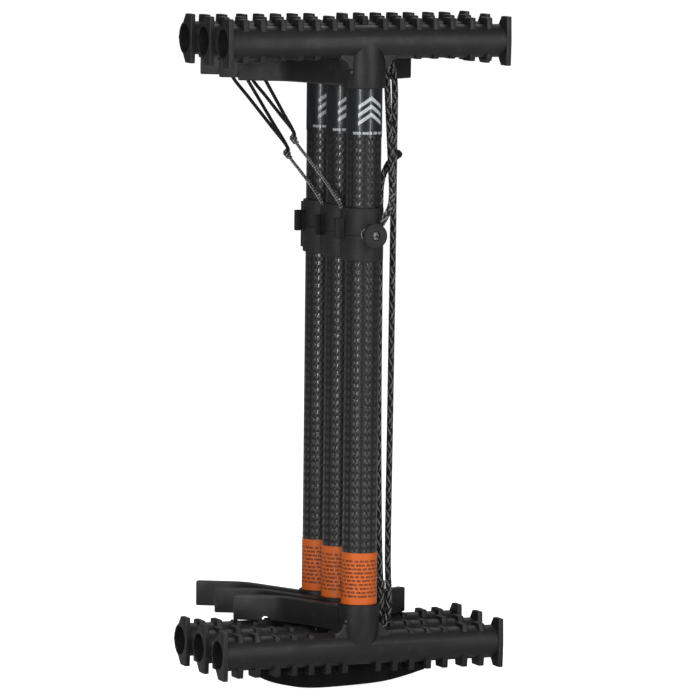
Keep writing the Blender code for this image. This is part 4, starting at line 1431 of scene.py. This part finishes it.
def knot_route(ahead, across, length, turns, steps=14):
    """A barrel knot: close turns about the cord's own line, from one end of the knot to the other."""
    turn_to = Vector((0, 0, 1)).rotation_difference(ahead)
    points = []
    count = int(turns * steps)
    for i in range(count + 1):
        share = i / count
        angle = math.tau * turns * share
        belly = across * (KNOT_END + (1 - KNOT_END) * math.sin(math.pi * share))
        point = Vector((belly * math.cos(angle), belly * math.sin(angle), length * (share - 0.5)))
        points.append(turn_to @ point)
    return points


def moved(points, place):
    return [point + place for point in points]


def merged(meshes):
    """Several meshes as one, with each face keeping its finish."""
    shape = bmesh.new()
    finishes = []
    for mesh in meshes:
        start = len(shape.faces)
        shape.from_mesh(mesh)
        shape.faces.ensure_lookup_table()
        for material in mesh.materials:
            if material not in finishes:
                finishes.append(material)
        numbers = [finishes.index(material) for material in mesh.materials]
        for face in shape.faces[start:]:
            face.material_index = numbers[face.material_index] if numbers else 0
    whole = bpy.data.meshes.new("merged")
    shape.to_mesh(whole)
    shape.free()
    for material in finishes:
        whole.materials.append(material)
    return whole


def eye_middle(stick):
    """The middle of the eye on a stick's button neck."""
    return Vector((0, AXIS_Y[stick] - (BOSS_FACE + BUTTON_BACK) / 2, MIDDLE + COLLAR_LIFT))


def rope_end(place, ahead):
    """The rope's sealed end: a blunt tip with a whipping of fine twine."""
    length, radius = ROPE_OD * 1.15, ROPE_OD * 0.54
    nose = radius * 0.6
    outline = [
        (0, length / 2),
        *arc((radius - nose, length / 2 - nose), nose, 90, 0, 6),
        (radius, -length / 2),
        (0, -length / 2),
    ]
    tip = turned(outline, HOLE_SIDES)
    turn_to = Vector((0, 0, 1)).rotation_difference(ahead)
    tip.transform(Matrix.Translation(place) @ turn_to.to_matrix().to_4x4())
    painted(smooth(tip), "elastic")
    twine = knot_route(ahead, radius * 1.02, length * 0.55, turns=4)
    wrap = braided(moved(twine, place), TWINE_OD, *TWINE_LOOK)
    return merged([tip, wrap])


def eye_shape(stick, diameter, look):
    """A braided eye that lies round a stick's button neck."""
    radius = BUTTON_NECK_OD / 2 + CLEARANCE + diameter / 2
    return braided(moved(ring_route(radius), eye_middle(stick)), diameter, *look)


def cord_knot(place, ahead):
    """A light cord's barrel knot, with dark turns at its middle."""
    strand = CORD_OD * 0.9
    pale_turns = knot_route(ahead, CORD_OD * 0.66, CORD_OD * 2.6, turns=2.0)
    dark_turns = knot_route(ahead, CORD_OD * 0.62, CORD_OD * 0.9, turns=1.5)
    return merged([
        braided(moved(pale_turns, place), strand, *CORD_LOOK),
        braided(moved(dark_turns, place), strand, *KNOT_LOOK),
    ])


# ---------------------------------------------------------------- operators


class STICKS_OT_stage(bpy.types.Operator):
    """Sets the camera, the floor and the lights"""

    bl_idname = "sticks.stage"
    bl_label = "Stage"

    def execute(self, context):
        settings = context.scene.stick_stage
        add_camera(context.scene)
        add_floor(settings)
        add_surround(context.scene, settings)
        add_lights(settings)
        return {"FINISHED"}


def toward(azimuth, elevation):
    """The direction from the pack to a place at an azimuth, counted from -Y towards -X, and an elevation."""
    flat = math.cos(elevation)
    return Vector((-math.sin(azimuth) * flat, -math.cos(azimuth) * flat, math.sin(elevation)))


def add_camera(scene):
    back = toward(CAMERA_AZIMUTH, CAMERA_ELEVATION)
    right = Vector((math.cos(CAMERA_AZIMUTH), -math.sin(CAMERA_AZIMUTH), 0))
    up = back.cross(right)
    roll = CAMERA_ROLL
    across = right * math.cos(roll) + up * math.sin(roll)
    above = up * math.cos(roll) - right * math.sin(roll)
    centre = Vector((0, AXIS_Y["middle"], MIDDLE))
    place = centre + right * CAMERA_AIM[0] + Vector((0, 0, CAMERA_AIM[1])) + back * CAMERA_DISTANCE
    data = bpy.data.cameras.new("camera")
    data.lens = CAMERA_LENS
    data.sensor_width = CAMERA_SENSOR
    data.clip_start, data.clip_end = CAMERA_CLIP
    camera = bpy.data.objects.new("camera", data)
    turn = Matrix((across, above, back)).transposed().to_4x4()
    camera.matrix_world = Matrix.Translation(place) @ turn
    scene.collection.objects.link(camera)
    scene.camera = camera
    scene.view_settings.view_transform = "Standard"


def add_floor(settings, reach=60.0, level=-0.0158):
    """A wide pale floor just under the strap. The camera sees it evenly lit."""
    floor = bpy.data.objects.new("floor", box((-reach, -reach, level - 0.01), (reach, reach, level)))
    bpy.context.scene.collection.objects.link(floor)
    material, wires, shader = new_finish("pale_floor", {"Roughness": 0.9, "Specular IOR Level": 0.1})
    shader.inputs["Base Color"].default_value = colour(settings.floor_colour)
    shader.inputs["Emission Color"].default_value = (1, 1, 1, 1)
    seen = wires.node("ShaderNodeLightPath").outputs["Is Camera Ray"]
    wires.feed(shader.inputs["Emission Strength"], wires.times(seen, FLOOR_GLOW))
    floor.data.materials.append(material)


def add_surround(scene, settings):
    world = bpy.data.worlds.new("surround")
    world.use_nodes = True
    wires = Wires(world.node_tree)
    sky = world.node_tree.nodes["Background"]
    sky.inputs["Color"].default_value = (1, 1, 1, 1)
    seen = wires.node("ShaderNodeLightPath").outputs["Is Camera Ray"]
    wires.feed(sky.inputs["Strength"], wires.spread(seen, 0, 1, settings.surround, 1.0))
    scene.world = world


def add_area(name, turn, height, distance, size, power, aim=MIDDLE):
    """A soft area light at a turn from the camera's azimuth, facing a height on the pack's axis."""
    data = bpy.data.lights.new(name, "AREA")
    data.shape = "RECTANGLE"
    data.size, data.size_y = size
    data.energy = power
    light = bpy.data.objects.new(name, data)
    flat = toward(CAMERA_AZIMUTH + turn, 0) * distance
    place = Vector((flat.x, flat.y, height))
    light.location = place
    light.rotation_euler = (place - Vector((0, 0, aim))).to_track_quat("Z", "Y").to_euler()
    bpy.context.scene.collection.objects.link(light)


def add_lights(settings):
    """Two tall strips whose reflections run down each tube, and wide soft lights above and behind."""
    strips = (
        ("left_strip", LEFT_STRIP_TURN, settings.strip_power),
        ("right_strip", RIGHT_STRIP_TURN, settings.strip_power * RIGHT_STRIP_SHARE),
    )
    for name, turn, power in strips:
        add_area(name, turn, STRIP_HEIGHT, STRIP_DISTANCE, STRIP_SIZE, power, STRIP_HEIGHT)
    back_power = settings.top_power * BACK_LIGHT_SHARE
    add_area("top_light", 0, height=2.2, distance=1.4, size=(1.6, 1.6), power=settings.top_power)
    add_area("back_light", math.pi, height=2.0, distance=1.8, size=(1.4, 1.4), power=back_power)


class STICKS_OT_rope(bpy.types.Operator):
    """Braids the climbing rope that is wound round the front stick's arms"""

    bl_idname = "sticks.rope"
    bl_label = "Rope"

    def execute(self, context):
        settings = context.scene.stick_rope
        body = BODIES["front"]
        weave = (settings.strands, settings.crossing)
        route = [in_place(point) for point in ROPE_ROUTE]
        rope = braided(smooth_route(route, ROUTE_STEPS), ROPE_OD, *weave, settings.fleck_every, "rope")
        add_piece("flecked_rope", rope, body, "rope", "front_rope")
        # The eye is the same rope with fewer pale strands: painted shade behind the button.
        eye = eye_shape("front", EYE_OD, (*weave, EYE_SHADE_FLECK_EVERY, "rope"))
        add_piece("rope_eye", eye, body, "rope", "front_rope_eye")
        tip = in_place(ROPE_END)
        end = rope_end(tip, (tip - route[-1]).normalized())
        add_piece("rope_end", end, body, "rope", "front_rope_knot")
        return {"FINISHED"}


class STICKS_OT_cords(bpy.types.Operator):
    """Braids the light cords, their knots and the elastic loops over the left arms"""

    bl_idname = "sticks.cords"
    bl_label = "Cords"

    def execute(self, context):
        for stick, places in CORD_ROUTES.items():
            body = BODIES[stick]
            route = [in_place(point) for point in places]
            knot_place = in_place(CORD_KNOTS[stick])
            cord = braided(smooth_route([*route, knot_place], ROUTE_STEPS), CORD_OD, *CORD_LOOK)
            add_piece(f"{stick}_light_cord", cord, body, "cord", f"{stick}_cord")
            eye = eye_shape(stick, CORD_OD, CORD_LOOK)
            add_piece(f"{stick}_light_eye", eye, body, "cord", f"{stick}_cord_eye")
            knot = cord_knot(knot_place, (knot_place - route[-1]).normalized())
            add_piece(f"{stick}_light_knot", knot, body, "cord", f"{stick}_cord_knot")
            over_arm = [in_place(point) for point in LOOP_ROUTES[stick]]
            loop_route = smooth_route([knot_place, *over_arm, knot_place], ROUTE_STEPS)
            loop = braided(loop_route, LOOP_OD, *LOOP_LOOK)
            add_piece(f"{stick}_elastic", loop, body, "elastic", f"{stick}_elastic_loop")
        return {"FINISHED"}


class STICKS_OT_steps(bpy.types.Operator):
    """Moulds the upper and lower steps of all three sticks"""

    bl_idname = "sticks.steps"
    bl_label = "Steps"

    def execute(self, context):
        upper = step_shape(context.scene.stick_moulding)
        shapes = {"upper": (upper, BAR_LIFT), "lower": (mirrored(upper, "Z"), -BAR_LIFT)}
        for stick in STICKS:
            for level, (shape, height) in shapes.items():
                add_to_stick(stick, f"{level}_moulding", shape, height, "moulding", f"{level}_step")
        return {"FINISHED"}


class STICKS_OT_tubes(bpy.types.Operator):
    """Makes the braided carbon tubes and the pins that hold them in their sockets"""

    bl_idname = "sticks.tubes"
    bl_label = "Tubes and pins"

    def execute(self, context):
        tube = painted(tube_shape(), "carbon")
        pin = pin_shape(PIN_OD / 2, PIN_DEPTH, SOCKET_OD / 2 + CLEARANCE, FINE_ROUNDING)
        painted(smooth(pin), "steel")
        for stick in STICKS:
            add_to_stick(stick, "carbon_tube", tube, 0, "carbon", "tube")
            for level, height in (("upper", PIN_HEIGHT), ("lower", -PIN_HEIGHT)):
                add_to_stick(stick, f"{level}_pin", pin, height, "steel", f"{level}_socket_pin")
        return {"FINISHED"}


class STICKS_OT_labels(bpy.types.Operator):
    """Wraps the dark and the bright label round each tube"""

    bl_idname = "sticks.labels"
    bl_label = "Labels"

    def execute(self, context):
        wraps = (("upper", "dark_label", "dark_label"), ("lower", "orange_label", "bright_label"))
        for level, slot, look in wraps:
            low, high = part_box(f"middle_{level}_label")
            wrap = painted(label_shape(high.z - low.z), look)
            centre = (low.z + high.z) / 2 - MIDDLE
            for stick in STICKS:
                add_to_stick(stick, f"{level}_wrap", wrap, centre, slot, f"{level}_label")
        return {"FINISHED"}


class STICKS_OT_collars(bpy.types.Operator):
    """Makes the collars, with the soft cleat in the side of each"""

    bl_idname = "sticks.collars"
    bl_label = "Collars and cleats"

    def execute(self, context):
        collar = painted(collar_shape(), "printed")
        cleat = painted(cleat_shape(), "rubber")
        for stick in STICKS:
            add_to_stick(stick, "sleeve", collar, COLLAR_LIFT, "moulding", "collar")
            add_to_stick(stick, "soft_cleat", cleat, COLLAR_LIFT, "rubber", "cleat")
        return {"FINISHED"}


class STICKS_OT_buttons(bpy.types.Operator):
    """Makes the round rope buttons and their screws"""

    bl_idname = "sticks.buttons"
    bl_label = "Buttons and screws"

    def execute(self, context):
        button = painted(button_shape(), "printed")
        screw = painted(screw_shape(), "screw")
        for stick in STICKS:
            add_to_stick(stick, "spool", button, COLLAR_LIFT, "moulding", "button", SPOOLS)
            add_to_stick(stick, "screw", screw, COLLAR_LIFT, "steel", "button_screw", SPOOLS)
        return {"FINISHED"}


class STICKS_OT_strap(bpy.types.Operator):
    """Lays the stowed strap between the lower bars"""

    bl_idname = "sticks.strap"
    bl_label = "Strap"

    def execute(self, context):
        strap = painted(strap_shape(), "webbing")
        add_piece("belly_strap", strap, BODIES["middle"], "webbing", "stowed_strap")
        return {"FINISHED"}


class STICKS_PT_panel(bpy.types.Panel):
    """The pack's pieces and settings"""

    bl_idname = "STICKS_PT_panel"
    bl_label = "Climbing Stick Pack"
    bl_space_type = "VIEW_3D"
    bl_region_type = "UI"
    bl_category = "Sticks"

    def draw(self, context):
        for operator in OPERATORS:
            self.layout.operator(operator.bl_idname)
        for name, settings in SETTINGS.items():
            for label in settings.__annotations__:
                self.layout.prop(getattr(context.scene, name), label)


OPERATORS = (
    STICKS_OT_stage,
    STICKS_OT_rope,
    STICKS_OT_cords,
    STICKS_OT_steps,
    STICKS_OT_tubes,
    STICKS_OT_labels,
    STICKS_OT_collars,
    STICKS_OT_buttons,
    STICKS_OT_strap,
)


def register():
    for cls in (*SETTINGS.values(), *OPERATORS, STICKS_PT_panel):
        bpy.utils.register_class(cls)
    for name, settings in SETTINGS.items():
        setattr(bpy.types.Scene, name, bpy.props.PointerProperty(type=settings))


def unregister():
    for name in SETTINGS:
        delattr(bpy.types.Scene, name)
    for cls in reversed((*SETTINGS.values(), *OPERATORS, STICKS_PT_panel)):
        bpy.utils.unregister_class(cls)


def main():
    register()
    for operator in OPERATORS:
        family, name = operator.bl_idname.split(".")
        getattr(getattr(bpy.ops, family), name)()


if __name__ == "__main__":
    main()
